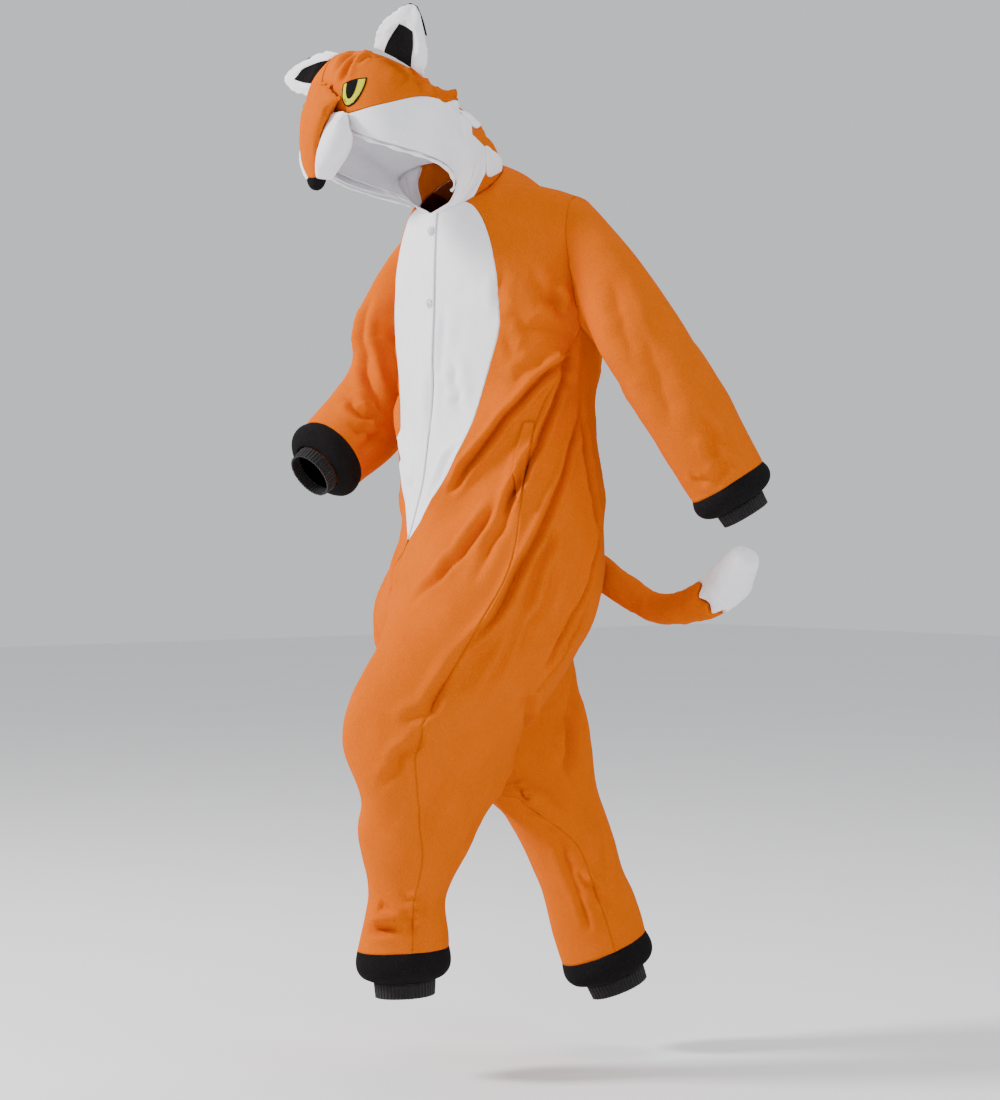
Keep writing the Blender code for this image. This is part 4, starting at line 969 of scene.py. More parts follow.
@dataclass
class Ear:
    """One ear: stuffed white front, orange back with a black tip, and a black lining low in its middle."""

    panels: Panels
    stuffed: Stuffed
    side: str
    levels: int = 2
    calm: float = 0.3
    insets: tuple[float, float] = (0.13, 0.03)      # of the back and its tip, towards the front's middle
    set_back: float = 0.0040
    back_lift: float = 0.0018       # of the back's outside, off the stuffed front
    clearance: float = 0.0004       # of the back's inside
    drop: float = 0.30              # of the lining, as a share of the ear's height
    lining_size: float = 1.05
    lining_lift: float = 0.0012
    lining_sink: float = 0.0006     # of the lining's underside
    facing: float = 0.1             # least lean of a normal that counts as an outside
    reach: float = 0.05             # from which points are dropped on the front

    def middle(self, node: str) -> np.ndarray:
        """The mean place of a solid's corners."""
        return read_points(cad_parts[f"{node}_{self.side}"].data).mean(0)

    def make(self) -> None:
        """Make the ear's pieces."""
        side = self.side
        front = f"ear_front_{side}"
        pad = self.stuffed.add(f"ear_pad_{side}", front, Finish.WHITE, FILLINGS["ear_front"])
        ahead = self.middle("ear_inner") - self.middle("ear_back")
        tip = self.middle("ear_tip") - self.middle("ear_back")
        ahead -= tip * (ahead @ tip) / (tip @ tip)
        ahead /= np.linalg.norm(ahead)
        for piece, finish, inset in zip(("ear_back", "ear_tip"), (Finish.ORANGE, Finish.BLACK), self.insets):
            node = f"{piece}_{side}"
            self.panels.add(node, finish, self.levels, self.calm, inset=inset, about=front)
            self.lay_back(self.panels.made[node].data, pad, ahead)
        lining = f"ear_inner_{side}"
        self.panels.add(lining, Finish.BLACK, self.levels, 0.0)
        self.lay_lining(self.panels.made[lining].data, pad, ahead, tip)

    def lay_back(self, mesh: bpy.types.Mesh, pad: bpy.types.Object, ahead: np.ndarray) -> None:
        """Set a piece of the ear's back behind the stuffed front, clear of it.

        Args:
            mesh: the piece's mesh.
            pad: the stuffed front.
            ahead: the way out of the ear's front.
        """
        points = read_points(mesh) - ahead * self.set_back
        outer = read_normals(mesh) @ ahead < -self.facing
        for index, place in enumerate(points):
            behind = Vector(place - ahead * self.reach)
            hit, spot, _, _ = pad.ray_cast(behind, Vector(ahead), distance=1.8 * self.reach)
            if hit:
                gap = self.back_lift if outer[index] else self.clearance
                room = (np.array(spot) - place) @ ahead - gap
                points[index] = place + ahead * min(room, 0.0)
        write_points(mesh, points)

    def lay_lining(self, mesh: bpy.types.Mesh, pad: bpy.types.Object, ahead: np.ndarray,
                   tip: np.ndarray) -> None:
        """Move the lining towards the ear's foot and lay it on the stuffed front.

        Args:
            mesh: the lining's mesh.
            pad: the stuffed front.
            ahead: the way out of the ear's front.
            tip: from the ear's foot towards its tip.
        """
        points = read_points(mesh)
        middle = points.mean(0)
        upper = read_normals(mesh) @ ahead > self.facing
        points = middle + (points - middle) * self.lining_size - tip * self.drop
        for index, place in enumerate(points):
            before = Vector(place + ahead * 0.8 * self.reach)
            hit, spot, _, _ = pad.ray_cast(before, Vector(-ahead), distance=1.6 * self.reach)
            if not hit:
                hit, spot, _, _ = pad.closest_point_on_mesh(Vector(place))
            points[index] = np.array(spot) + ahead * (self.lining_lift if upper[index] else -self.lining_sink)
        write_points(mesh, points)


# ---- trims --------------------------------------------------------------------
def thinned(path: list[np.ndarray], spacing: float) -> np.ndarray:
    """Space the points of a path evenly.

    Args:
        path: its points.
        spacing: the distance between the new ones.

    Returns:
        The new points.
    """
    line = np.array(path)
    steps = np.linalg.norm(np.diff(line, axis=0), axis=1)
    along = np.concatenate(([0.0], np.cumsum(steps)))
    count = max(3, int(along[-1] / spacing))
    places = np.linspace(0.0, along[-1], count)
    return np.stack([np.interp(places, along, line[:, axis]) for axis in range(3)], axis=1)


def tube_mesh(name: str, lines: list[np.ndarray], radius: float, sides: int = 6,
              end_share: float = 0.55) -> bpy.types.Mesh:
    """Make closed tubes along lines, rounded off at both ends.

    Args:
        name: the mesh's name.
        lines: each tube's points.
        radius: the tubes' radius.
        sides: points round each tube.
        end_share: radius at the ends beside the rest.

    Returns:
        The mesh.
    """
    vertices: list[np.ndarray] = []
    faces: list[tuple[int, ...]] = []
    for line in lines:
        ways = np.gradient(line, axis=0)
        ways /= np.linalg.norm(ways, axis=1)[:, None] + 1e-12
        first = len(vertices)
        side = np.cross(ways[0], (0.31, 0.52, 0.79))
        for index, (place, way) in enumerate(zip(line, ways)):
            side = side - way * side.dot(way)
            side /= np.linalg.norm(side) + 1e-12
            up = np.cross(way, side)
            size = radius * (end_share if index in (0, len(line) - 1) else 1.0)
            for step in range(sides):
                turn = 2.0 * math.pi * step / sides
                vertices.append(place + (side * math.cos(turn) + up * math.sin(turn)) * size)
        faces += bands(len(line), sides, first)
        faces.append(tuple(first + step for step in range(sides))[::-1])
        faces.append(tuple(first + (len(line) - 1) * sides + step for step in range(sides)))
    return mesh_of(name, vertices, faces)


def lathe_mesh(name: str, profile: list[tuple[float, float]], place: np.ndarray, way: np.ndarray,
               sides: int = 48) -> bpy.types.Mesh:
    """Turn a profile about an axis.

    Args:
        name: the mesh's name.
        profile: radius and height of each of its rings; the first and last close on the axis.
        place: the axis' foot.
        way: the axis' direction.
        sides: points round each ring.

    Returns:
        The mesh.
    """
    turn = Vector((0.0, 0.0, 1.0)).rotation_difference(Vector(way)).to_matrix()
    vertices, faces = [], []
    for radius, height in profile:
        for step in range(sides):
            a = 2.0 * math.pi * step / sides
            spot = turn @ Vector((radius * math.cos(a), radius * math.sin(a), height))
            vertices.append(tuple(np.array(spot) + place))
    faces += bands(len(profile), sides)
    faces.append(tuple(range(sides))[::-1])
    faces.append(tuple((len(profile) - 1) * sides + step for step in range(sides)))
    return mesh_of(name, vertices, faces)


# Half of a press stud's cap: radius and height of its rings, from its rim to its raised middle.
STUD_PROFILE = [(0.0072, -0.0010), (0.0076, 0.0002), (0.0072, 0.0011), (0.0063, 0.0014), (0.0054, 0.0011),
                (0.0048, 0.0006), (0.0040, 0.0006), (0.0033, 0.0012), (0.0020, 0.0017), (0.0008, 0.0018)]


@dataclass
class Trims:
    """Ribbed cuff ends, the rolled hem, press studs and stitching."""

    panels: Panels
    wardrobe: Wardrobe
    stitch: float = 0.0032
    stitch_gap: float = 0.0013
    spacing: float = 0.0011         # of the points along a row of stitches
    thread: float = 0.00042
    thread_lift: float = 0.0003     # off the cloth's outside
    wall: float = 0.0021            # from the cloth's inside to its outside
    ribs: int = 46
    rib_height: float = 0.0007
    rib_slack: tuple[float, float] = (0.0012, 0.030)        # height and wavelength, as the two below
    hem_slack: tuple[float, float] = (0.0030, 0.022)
    hem_crumple: tuple[float, float] = (0.0010, 0.008)

    def rib(self, node: str) -> None:
        """Make a ribbed cuff end over its solid, with its ribs running along it.

        Args:
            node: the solid's name.
        """
        mesh = refined(node_mesh(node), 3, 50.0)
        points = read_points(mesh)
        middle = points.mean(0)
        spread = np.linalg.svd((points - middle)[::7], full_matrices=False)[2]
        axis = spread[2]
        first, second = spread[0], spread[1]
        flat = points - middle
        turn = np.arctan2(flat @ second, flat @ first)
        away = flat - np.outer(flat @ axis, axis)
        away /= np.linalg.norm(away, axis=1)[:, None] + 1e-9
        ridge = np.cos(turn * self.ribs) * self.rib_height
        ridge += ClothField.slack(points, *self.rib_slack)
        write_points(mesh, points + away * ridge[:, None])
        piece = self.wardrobe.place(f"knit_{node}", mesh, Finish.RIB, node)
        self.panels.cuts[node].state(piece, "stretched")

    def roll(self, node: str, finish: Finish) -> None:
        """Make the rolled hem of the face opening over its solid.

        Args:
            node: the solid's name.
            finish: its cloth.
        """
        mesh = refined(node_mesh(node), 2, 80.0)
        points = read_points(mesh)
        lift = ClothField.slack(points, *self.hem_slack) + ClothField.slack(points, *self.hem_crumple)
        write_points(mesh, points + read_normals(mesh) * lift[:, None])
        self.wardrobe.place(f"rolled_{node}", mesh, finish, node)

    def snap(self, node: str) -> None:
        """Make a press stud's cap: a ring with a raised middle over its solid.

        Args:
            node: the solid's name.
        """
        low, high = (np.array(corner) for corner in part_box(node))
        place = 0.5 * (low + high)
        way = self.panels.cloth.outward(place[None])[0]
        self.wardrobe.place(f"stud_{node}", lathe_mesh(node, STUD_PROFILE, place, way), Finish.SNAP, node)

    def stitches(self, name: str, lines: list[list[Point]], panel: str, finish: Finish) -> None:
        """Sew rows of stitches on a finished panel.

        Args:
            name: the piece's name.
            lines: the corners of each row.
            panel: the panel's node.
            finish: the thread.
        """
        cloth = self.panels.made[panel]
        sewn = []
        for line in lines:
            path = thinned([np.array(place) for place in line], self.spacing)
            laid = []
            for place in path:
                hit, spot, way, _ = cloth.closest_point_on_mesh(Vector(place))
                if hit:
                    out = self.panels.cloth.outward(np.array(spot)[None])[0]
                    inside = np.dot(way, out) <= 0.0
                    laid.append(np.array(spot) + out * (self.thread_lift + (self.wall if inside else 0.0)))
            laid = thinned(laid, self.spacing)
            take, skip = round(self.stitch / self.spacing), round(self.stitch_gap / self.spacing)
            for first in range(0, len(laid) - take, take + skip):
                sewn.append(laid[first:first + take + 1])
        self.wardrobe.place(name, tube_mesh(name, sewn, self.thread, 5), finish)


# The hood's middle plane: a point of it, and the way across it to the left ear, for a head that
# leans to its right and looks down.
HOOD_MIDDLE = np.array((0.0, -0.084, 0.011))
HOOD_ROLL = math.radians(10.0)
HOOD_PITCH = math.radians(40.0)
HOOD_SIDE = np.array((math.cos(HOOD_ROLL), -math.sin(HOOD_ROLL) * math.sin(HOOD_PITCH),
                      math.sin(HOOD_ROLL) * math.cos(HOOD_PITCH)))


def across_hood(place: np.ndarray) -> np.ndarray:
    """The mirror image of a place on the hood's other side."""
    return place - 2.0 * HOOD_SIDE * float((place - HOOD_MIDDLE) @ HOOD_SIDE)


@dataclass
class Appliques:
    """Flat felt shapes sewn on a finished panel, each a closed low cushion."""

    panels: Panels
    wardrobe: Wardrobe
    rings: tuple[float, ...] = (1.0, 0.95, 0.86, 0.70, 0.50, 0.28, 0.10)
    smooth: int = 4             # points between two corners of an outline
    base: float = -0.0004       # height of the underside
    rim_share: float = 0.62     # height of the rim beside the height of the middle
    reach: float = 0.03         # from which a point is dropped on to its panel

    def laid(self, place: np.ndarray, panel: bpy.types.Object) -> tuple[np.ndarray, np.ndarray]:
        """Drop a place on to a panel's outside.

        Args:
            place: the place.
            panel: the finished panel.

        Returns:
            The place on the panel and the way out of it.
        """
        way = self.panels.cloth.outward(place[None])[0]
        above = Vector(place + way * self.reach)
        hit, spot, _, _ = panel.ray_cast(above, Vector(-way), distance=2.0 * self.reach)
        if not hit:
            hit, spot, _, _ = panel.closest_point_on_mesh(Vector(place))
        return np.array(spot), way

    def outline(self, corners: list[np.ndarray], sharp: tuple[int, ...]) -> np.ndarray:
        """Round a closed outline between its sharp corners.

        Args:
            corners: its points.
            sharp: numbers of the points that stay sharp.

        Returns:
            The finer outline.
        """
        points, total = [], len(corners)
        for index in range(total):
            before, here = corners[index - 1], corners[index]
            after, beyond = corners[(index + 1) % total], corners[(index + 2) % total]
            start = (after - before) * 0.5 if index not in sharp else after - here
            end = (beyond - here) * 0.5 if (index + 1) % total not in sharp else after - here
            for step in range(self.smooth):
                t = step / self.smooth
                points.append(here * (2 * t ** 3 - 3 * t ** 2 + 1) + start * (t ** 3 - 2 * t ** 2 + t)
                              + after * (3 * t ** 2 - 2 * t ** 3) + end * (t ** 3 - t ** 2))
        return np.array(points)

    def add(self, name: str, corners: list[np.ndarray], panel: bpy.types.Object, finish: Finish,
            height: float, sharp: tuple[int, ...], *nodes: str) -> bpy.types.Object:
        """Sew one shape on a panel.

        Args:
            name: the piece's name.
            corners: its outline.
            panel: the finished panel.
            finish: its cloth.
            height: how high it stands.
            sharp: numbers of its sharp corners.
            nodes: the solids that it stands for.

        Returns:
            The piece.
        """
        rim = self.outline(corners, sharp)
        middle = rim.mean(0)
        vertices, faces, count = [], [], len(rim)
        for layer in (height, self.base):
            for share in self.rings:
                low = layer == height and share == 1.0
                lift = layer * (self.rim_share if low else 1.0)
                for place in rim:
                    spot, way = self.laid(middle + (place - middle) * share, panel)
                    vertices.append(tuple(spot + way * lift))
        depth = len(self.rings)
        for layer, turn in ((0, 1), (depth, -1)):
            faces += [face[::turn] for face in bands(depth, count, layer * count)]
            faces.append(tuple((layer + depth - 1) * count + step for step in range(count))[::turn])
        for step in range(count):
            after = (step + 1) % count
            faces.append((depth * count + step, depth * count + after, after, step))
        mesh = mesh_of(name, vertices, faces)
        with edited(mesh) as form:
            bmesh.ops.recalc_face_normals(form, faces=form.faces)
        return self.wardrobe.place(name, mesh, finish, *nodes)

    def sew(self, name: str, corners: list[np.ndarray], side: str, finish: Finish, height: float,
            sharp: tuple[int, ...], *nodes: str) -> bpy.types.Object:
        """Sew a shape on one side of the crown.

        Args:
            name: the piece's name.
            corners: its outline on the left side.
            side: the side that it is sewn on.
            finish: its cloth.
            height: how high it stands.
            sharp: numbers of its sharp corners.
            nodes: the solids that it stands for.

        Returns:
            The piece.
        """
        if side == "right":
            corners = [across_hood(place) for place in corners][::-1]
            sharp = tuple(len(corners) - 1 - number for number in sharp)
        return self.add(name, corners, self.panels.made[f"crown_{side}"], finish, height, sharp, *nodes)


# ---- cuts and how they are held -----------------------------------------------
CUTS = {
    "front": Cut(0.40, 1.36, 0.305), "back": Cut(0.52, 1.40, 0.425), "belly": Cut(0.20, 0.57, 0.067),
    "sleeve": Cut(0.47, 0.56, 0.200), "cheek": Cut(0.16, 0.26, 0.028), "crown": Cut(0.26, 0.40, 0.059),
    "wrist_band": Cut(0.46, 0.055, 0.0241), "ankle_band": Cut(0.49, 0.065, 0.0292),
    "wrist_rib": Cut(0.27, 0.028, 0.0061), "ankle_rib": Cut(0.32, 0.030, 0.0080),
    "pocket": Cut(0.030, 0.135, 0.0024), "hood_lining": Cut(0.62, 0.30, 0.125),
    "ear_back": Cut(0.09, 0.105, 0.0055), "ear_tip": Cut(0.06, 0.055, 0.0019),
    "ear_inner": Cut(0.05, 0.075, 0.0021), "eye_patch": Cut(0.044, 0.045, 0.0016),
    "eye_ring": Cut(0.038, 0.040, 0.0012), "eye_pupil": Cut(0.020, 0.031, 0.00053),
}
HELD = {"wrist_band": "gathered", "ankle_band": "gathered", "pocket": "laid", "ear_inner": "laid"}


def per_side(table: dict) -> dict:
    """Give both sides' nodes the same entry of a table keyed by the bare name.

    Args:
        table: bare name to entry.

    Returns:
        Node name to entry.
    """
    spread = dict(table)
    for name, entry in table.items():
        for side in ("left", "right"):
            spread[f"{name}_{side}"] = entry
    return spread


# ---- where creases, eyes and stitches lie ---------------------------------------
# Creases that pull from the underarm, the crotch and the knee, with one row for each: its start,
# middle and end, then its depth, below zero for a ridge, and half width.
FRONT_FOLDS = [
    Fold((0.205, -0.005, -0.255), (0.151, -0.116, -0.380), (0.054, -0.159, -0.506), 0.0125, 0.006),
    Fold((0.196, -0.024, -0.301), (0.181, -0.065, -0.412), (0.150, -0.126, -0.542), 0.0125, 0.006),
    Fold((0.186, 0.029, -0.337), (0.193, -0.077, -0.558), (0.133, -0.200, -0.775), 0.0112, 0.006),
    Fold((0.146, -0.122, -0.506), (0.098, -0.163, -0.591), (0.045, -0.219, -0.672), 0.0088, 0.008),
    Fold((0.174, 0.071, -0.542), (0.194, 0.008, -0.673), (0.168, -0.045, -0.790), 0.0125, 0.006),
    Fold((0.184, 0.044, -0.674), (0.170, 0.003, -0.753), (0.143, -0.056, -0.837), 0.0075, 0.005),
    Fold((0.190, 0.019, -0.353), (0.186, 0.037, -0.476), (0.178, 0.067, -0.584), 0.0112, 0.007),
    Fold((0.201, -0.050, -0.542), (0.190, -0.096, -0.671), (0.152, -0.169, -0.832), 0.0075, 0.008),
    Fold((0.176, -0.074, -0.396), (0.159, -0.113, -0.510), (0.133, -0.175, -0.655), 0.0055, 0.008),
    Fold((0.204, -0.011, -0.261), (0.198, -0.019, -0.291), (0.192, -0.029, -0.327), 0.014, 0.010),
    Fold((0.140, -0.117, -0.318), (0.175, -0.088, -0.302), (0.195, -0.058, -0.269), 0.003, 0.009),
    Fold((0.139, -0.116, -0.257), (0.154, -0.104, -0.266), (0.169, -0.091, -0.285), 0.003, 0.010),
    Fold((0.209, -0.016, -0.213), (0.196, -0.059, -0.178), (0.173, -0.086, -0.139), 0.006, 0.010),
    Fold((0.208, -0.021, -0.239), (0.187, -0.072, -0.234), (0.151, -0.110, -0.204), 0.006, 0.011),
    Fold((0.203, -0.043, -0.132), (0.199, -0.054, -0.169), (0.206, -0.033, -0.210), 0.005, 0.009),
]
SIDE_FOLDS = [
    Fold((0.204, -0.044, -0.607), (0.191, -0.076, -0.696), (0.167, -0.130, -0.800), 0.006, 0.010),
]
BELLY_FOLDS = [
    Fold((0.045, -0.151, -0.255), (0.061, -0.148, -0.321), (0.071, -0.145, -0.378), 0.005, 0.009),
    Fold((0.076, -0.149, -0.415), (0.034, -0.158, -0.463), (-0.001, -0.163, -0.529), 0.006, 0.006),
    Fold((0.009, -0.158, -0.262), (0.007, -0.153, -0.344), (-0.010, -0.152, -0.410), 0.004, 0.008),
    Fold((0.145, -0.109, -0.123), (0.139, -0.117, -0.168), (0.135, -0.120, -0.217), 0.004, 0.009),
    Fold((0.030, -0.154, -0.180), (0.032, -0.154, -0.262), (0.041, -0.151, -0.348), 0.0035, 0.009),
    Fold((-0.066, -0.137, -0.408), (-0.053, -0.143, -0.492), (-0.071, -0.142, -0.551), 0.0030, 0.008),
]
LEG_FOLDS = [
    Fold((0.140, -0.185, -0.754), (0.118, -0.233, -0.823), (0.093, -0.283, -0.878), 0.007, 0.009),
    Fold((0.121, -0.248, -0.872), (0.100, -0.280, -0.918), (0.062, -0.303, -0.970), 0.007, 0.008),
    Fold((0.044, -0.248, -1.147), (0.053, -0.231, -1.159), (0.063, -0.218, -1.152), 0.004, 0.005),
    Fold((0.043, -0.023, -0.985), (0.014, 0.046, -1.037), (0.031, 0.090, -1.069), 0.004, 0.012),
    Fold((0.040, 0.122, -1.125), (0.057, 0.153, -1.170), (0.074, 0.188, -1.206), 0.008, 0.007),
    Fold((0.041, 0.128, -1.153), (0.051, 0.146, -1.201), (0.057, 0.157, -1.242), 0.006, 0.006),
    Fold((-0.011, 0.176, -0.793), (0.004, 0.149, -0.904), (0.017, 0.156, -1.006), 0.007, 0.010),
    Fold((0.154, -0.072, -0.823), (0.112, -0.031, -0.869), (0.003, 0.042, -0.924), 0.007, 0.009),
    Fold((0.183, -0.112, -0.671), (0.150, -0.168, -0.768), (0.128, -0.221, -0.831), 0.006, 0.016),
    Fold((0.116, -0.160, -0.931), (0.103, -0.213, -0.994), (0.084, -0.243, -1.074), 0.005, 0.015),
    Fold((-0.010, -0.272, -1.196), (0.018, -0.269, -1.208), (0.044, -0.249, -1.200), 0.013, 0.007),
    Fold((-0.012, -0.276, -1.180), (0.018, -0.270, -1.190), (0.042, -0.252, -1.182), -0.007, 0.009),
    Fold((0.045, -0.241, -1.167), (0.056, -0.233, -1.199), (0.064, -0.215, -1.211), 0.005, 0.007),
    Fold((0.076, -0.212, -1.126), (0.063, -0.214, -1.167), (0.054, -0.236, -1.199), 0.004, 0.009),
    Fold((0.064, -0.053, -0.990), (0.082, -0.120, -1.050), (0.079, -0.173, -1.112), 0.004, 0.014),
    Fold((0.065, -0.044, -0.971), (0.022, 0.059, -1.030), (0.034, 0.096, -1.073), 0.005, 0.013),
    Fold((0.035, 0.100, -1.076), (0.042, 0.129, -1.149), (0.062, 0.162, -1.222), 0.006, 0.008),
    Fold((-0.020, 0.200, -0.840), (-0.010, 0.205, -0.880), (-0.004, 0.198, -0.941), 0.006, 0.010),
    Fold((0.007, 0.128, -0.834), (0.006, 0.143, -0.920), (0.019, 0.118, -1.004), 0.006, 0.013),
    Fold((0.045, 0.200, -1.040), (0.060, 0.186, -1.108), (0.073, 0.189, -1.192), 0.004, 0.012),
    Fold((-0.110, 0.020, -0.760), (-0.120, 0.060, -0.860), (-0.090, 0.130, -0.960), 0.008, 0.013),
    Fold((-0.135, 0.080, -0.780), (-0.125, 0.130, -0.900), (-0.080, 0.190, -1.020), 0.006, 0.014),
    Fold((-0.100, 0.150, -1.020), (-0.070, 0.190, -1.090), (-0.040, 0.240, -1.150), 0.006, 0.011),
    Fold((-0.060, 0.150, -1.150), (-0.040, 0.180, -1.200), (0.000, 0.190, -1.240), 0.006, 0.009),
    Fold((-0.060, -0.150, -0.900), (-0.050, -0.160, -1.000), (-0.060, -0.180, -1.100), 0.007, 0.012),
    Fold((-0.070, -0.220, -1.110), (-0.060, -0.190, -1.170), (-0.030, -0.150, -1.210), 0.006, 0.009),
]
SLEEVE_FOLDS = [
    Fold((0.351, -0.003, -0.223), (0.378, 0.011, -0.319), (0.389, 0.040, -0.408), 0.006, 0.020),
    Fold((0.414, 0.069, -0.350), (0.428, 0.085, -0.414), (0.433, 0.093, -0.456), 0.006, 0.009),
    Fold((0.438, 0.108, -0.433), (0.435, 0.097, -0.462), (0.421, 0.089, -0.491), 0.005, 0.007),
    Fold((0.300, -0.021, -0.141), (0.332, -0.025, -0.223), (0.353, -0.005, -0.319), 0.005, 0.016),
    Fold((0.396, 0.064, -0.462), (0.407, 0.076, -0.478), (0.424, 0.086, -0.478), 0.004, 0.006),
    Fold((0.330, 0.130, -0.250), (0.350, 0.150, -0.330), (0.380, 0.190, -0.400), 0.006, 0.013),
    Fold((0.260, 0.080, -0.250), (0.290, 0.060, -0.330), (0.320, 0.100, -0.420), 0.008, 0.011),
    Fold((0.350, 0.180, -0.400), (0.370, 0.200, -0.440), (0.400, 0.210, -0.470), 0.005, 0.008),
    Fold((-0.271, -0.064, -0.142), (-0.273, -0.084, -0.251), (-0.215, -0.085, -0.353), 0.008, 0.010),
    Fold((-0.262, -0.129, -0.322), (-0.226, -0.124, -0.354), (-0.212, -0.083, -0.370), 0.007, 0.008),
    Fold((-0.227, -0.149, -0.371), (-0.212, -0.122, -0.392), (-0.214, -0.064, -0.398), 0.005, 0.007),
    Fold((-0.211, -0.136, -0.433), (-0.210, -0.111, -0.405), (-0.212, -0.074, -0.391), 0.005, 0.008),
    Fold((-0.330, 0.020, -0.220), (-0.360, 0.030, -0.300), (-0.350, -0.020, -0.380), 0.007, 0.012),
    Fold((-0.345, -0.020, -0.330), (-0.340, -0.060, -0.380), (-0.320, -0.090, -0.410), 0.008, 0.009),
    Fold((-0.250, 0.060, -0.210), (-0.290, 0.075, -0.290), (-0.320, 0.050, -0.370), 0.006, 0.011),
    Fold((-0.340, -0.100, -0.400), (-0.330, -0.130, -0.430), (-0.310, -0.160, -0.460), 0.005, 0.007),
]
BACK_FOLDS = [
    Fold((0.150, 0.110, -0.170), (0.120, 0.135, -0.290), (0.060, 0.150, -0.400), 0.008, 0.013),
    Fold((0.170, 0.095, -0.260), (0.150, 0.130, -0.400), (0.110, 0.160, -0.560), 0.009, 0.012),
    Fold((0.060, 0.130, -0.110), (0.030, 0.140, -0.180), (-0.020, 0.140, -0.220), 0.005, 0.014),
    Fold((0.090, 0.190, -0.560), (0.060, 0.210, -0.640), (0.020, 0.200, -0.700), 0.006, 0.012),
    Fold((0.120, 0.180, -0.600), (0.100, 0.190, -0.700), (0.060, 0.160, -0.780), 0.008, 0.013),
    Fold((0.050, 0.140, -0.300), (0.040, 0.150, -0.420), (0.070, 0.170, -0.520), 0.006, 0.012),
]
HOOD_FOLDS = [
    Fold((0.014, -0.345, 0.163), (0.003, -0.327, 0.198), (-0.004, -0.289, 0.222), 0.0095, 0.006),
    Fold((0.020, -0.324, 0.190), (0.013, -0.294, 0.213), (0.032, -0.276, 0.225), 0.0085, 0.005),
    Fold((-0.004, -0.345, 0.178), (-0.014, -0.318, 0.206), (-0.022, -0.280, 0.222), 0.0080, 0.006),
    Fold((0.062, -0.164, 0.162), (0.077, -0.166, 0.150), (0.092, -0.172, 0.126), -0.0130, 0.013),
    Fold((0.062, -0.200, 0.178), (0.078, -0.205, 0.158), (0.094, -0.200, 0.132), 0.0080, 0.005),
    Fold((0.060, -0.215, 0.185), (0.069, -0.229, 0.174), (0.094, -0.253, 0.143), 0.0060, 0.006),
    Fold((0.038, -0.260, 0.204), (0.069, -0.260, 0.181), (0.081, -0.282, 0.151), 0.0025, 0.008),
    Fold((0.050, -0.170, 0.175), (0.062, -0.161, 0.148), (0.075, -0.160, 0.110), 0.0055, 0.007),
    Fold((0.010, -0.080, 0.160), (0.040, -0.070, 0.110), (0.060, -0.080, 0.060), 0.0060, 0.010),
    Fold((-0.070, -0.080, 0.140), (-0.080, -0.090, 0.090), (-0.070, -0.080, 0.050), 0.0055, 0.010),
]

# Left eye on the crown: ends of its straight top and its lowest point, then its outlines as shares
# of the way across and down. The straight top's two corners stay sharp.
EYE_PLACE = ((0.014, -0.343, 0.161), (0.047, -0.318, 0.169), (0.029, -0.3405, 0.123))
EYE_OUTLINES = {
    "eye_patch": ((0.0, 0.0), (0.31, -0.03), (0.64, -0.03), (1.0, 0.0), (1.03, 0.27), (1.0, 0.53),
                  (0.93, 0.76), (0.80, 0.93), (0.62, 1.02), (0.38, 1.01), (0.17, 0.87), (0.05, 0.61),
                  (0.0, 0.32)),
    "eye_ring": ((0.07, 0.055), (0.37, 0.04), (0.65, 0.04), (0.955, 0.065), (0.975, 0.29), (0.94, 0.52),
                 (0.86, 0.72), (0.73, 0.87), (0.57, 0.95), (0.38, 0.94), (0.215, 0.80), (0.12, 0.58),
                 (0.085, 0.33)),
    "eye_pupil": ((0.215, 0.03), (0.44, 0.02), (0.68, 0.04), (0.69, 0.31), (0.67, 0.57), (0.57, 0.73),
                  (0.41, 0.70), (0.29, 0.48), (0.235, 0.22)),
}

# Each layer of an eye: its finish, its height over the crown, and its sharp corners.
EYE_LAYERS = (("eye_patch", Finish.BLACK, 0.0011, (0, 3)), ("eye_ring", Finish.FELT, 0.0021, (0, 3)),
              ("eye_pupil", Finish.BLACK, 0.0029, (0, 2)))

# Outlines of the white tufts behind the left cheek; the third point is the tip.
TUFTS = {
    "upper": ((0.074, -0.150, 0.131), (0.051, -0.116, 0.129), (0.036, -0.088, 0.120), (0.058, -0.095, 0.106),
              (0.080, -0.126, 0.103)),
    "lower": ((0.083, -0.103, 0.070), (0.066, -0.074, 0.070), (0.050, -0.044, 0.058), (0.060, -0.050, 0.040),
              (0.072, -0.072, 0.028), (0.082, -0.097, 0.026)),
}
TUFT_TIP = 2
TUFT_CUTS = {"upper": Cut(0.056, 0.044, 0.0016), "lower": Cut(0.066, 0.050, 0.0022)}

# Rows of stitches: down the placket, and beside the left pocket's opening.
PLACKET_ROWS = [
    [(0.021, -0.155, -0.056), (0.016, -0.157, -0.110), (0.012, -0.158, -0.162), (0.009, -0.159, -0.212),
     (0.005, -0.157, -0.270)],
]
POCKET_ROWS = [
    [(0.171, -0.080, -0.399), (0.168, -0.088, -0.432), (0.166, -0.097, -0.461), (0.163, -0.109, -0.508)],
    [(0.164, -0.092, -0.405), (0.161, -0.099, -0.436), (0.159, -0.107, -0.465), (0.157, -0.116, -0.505)],
]


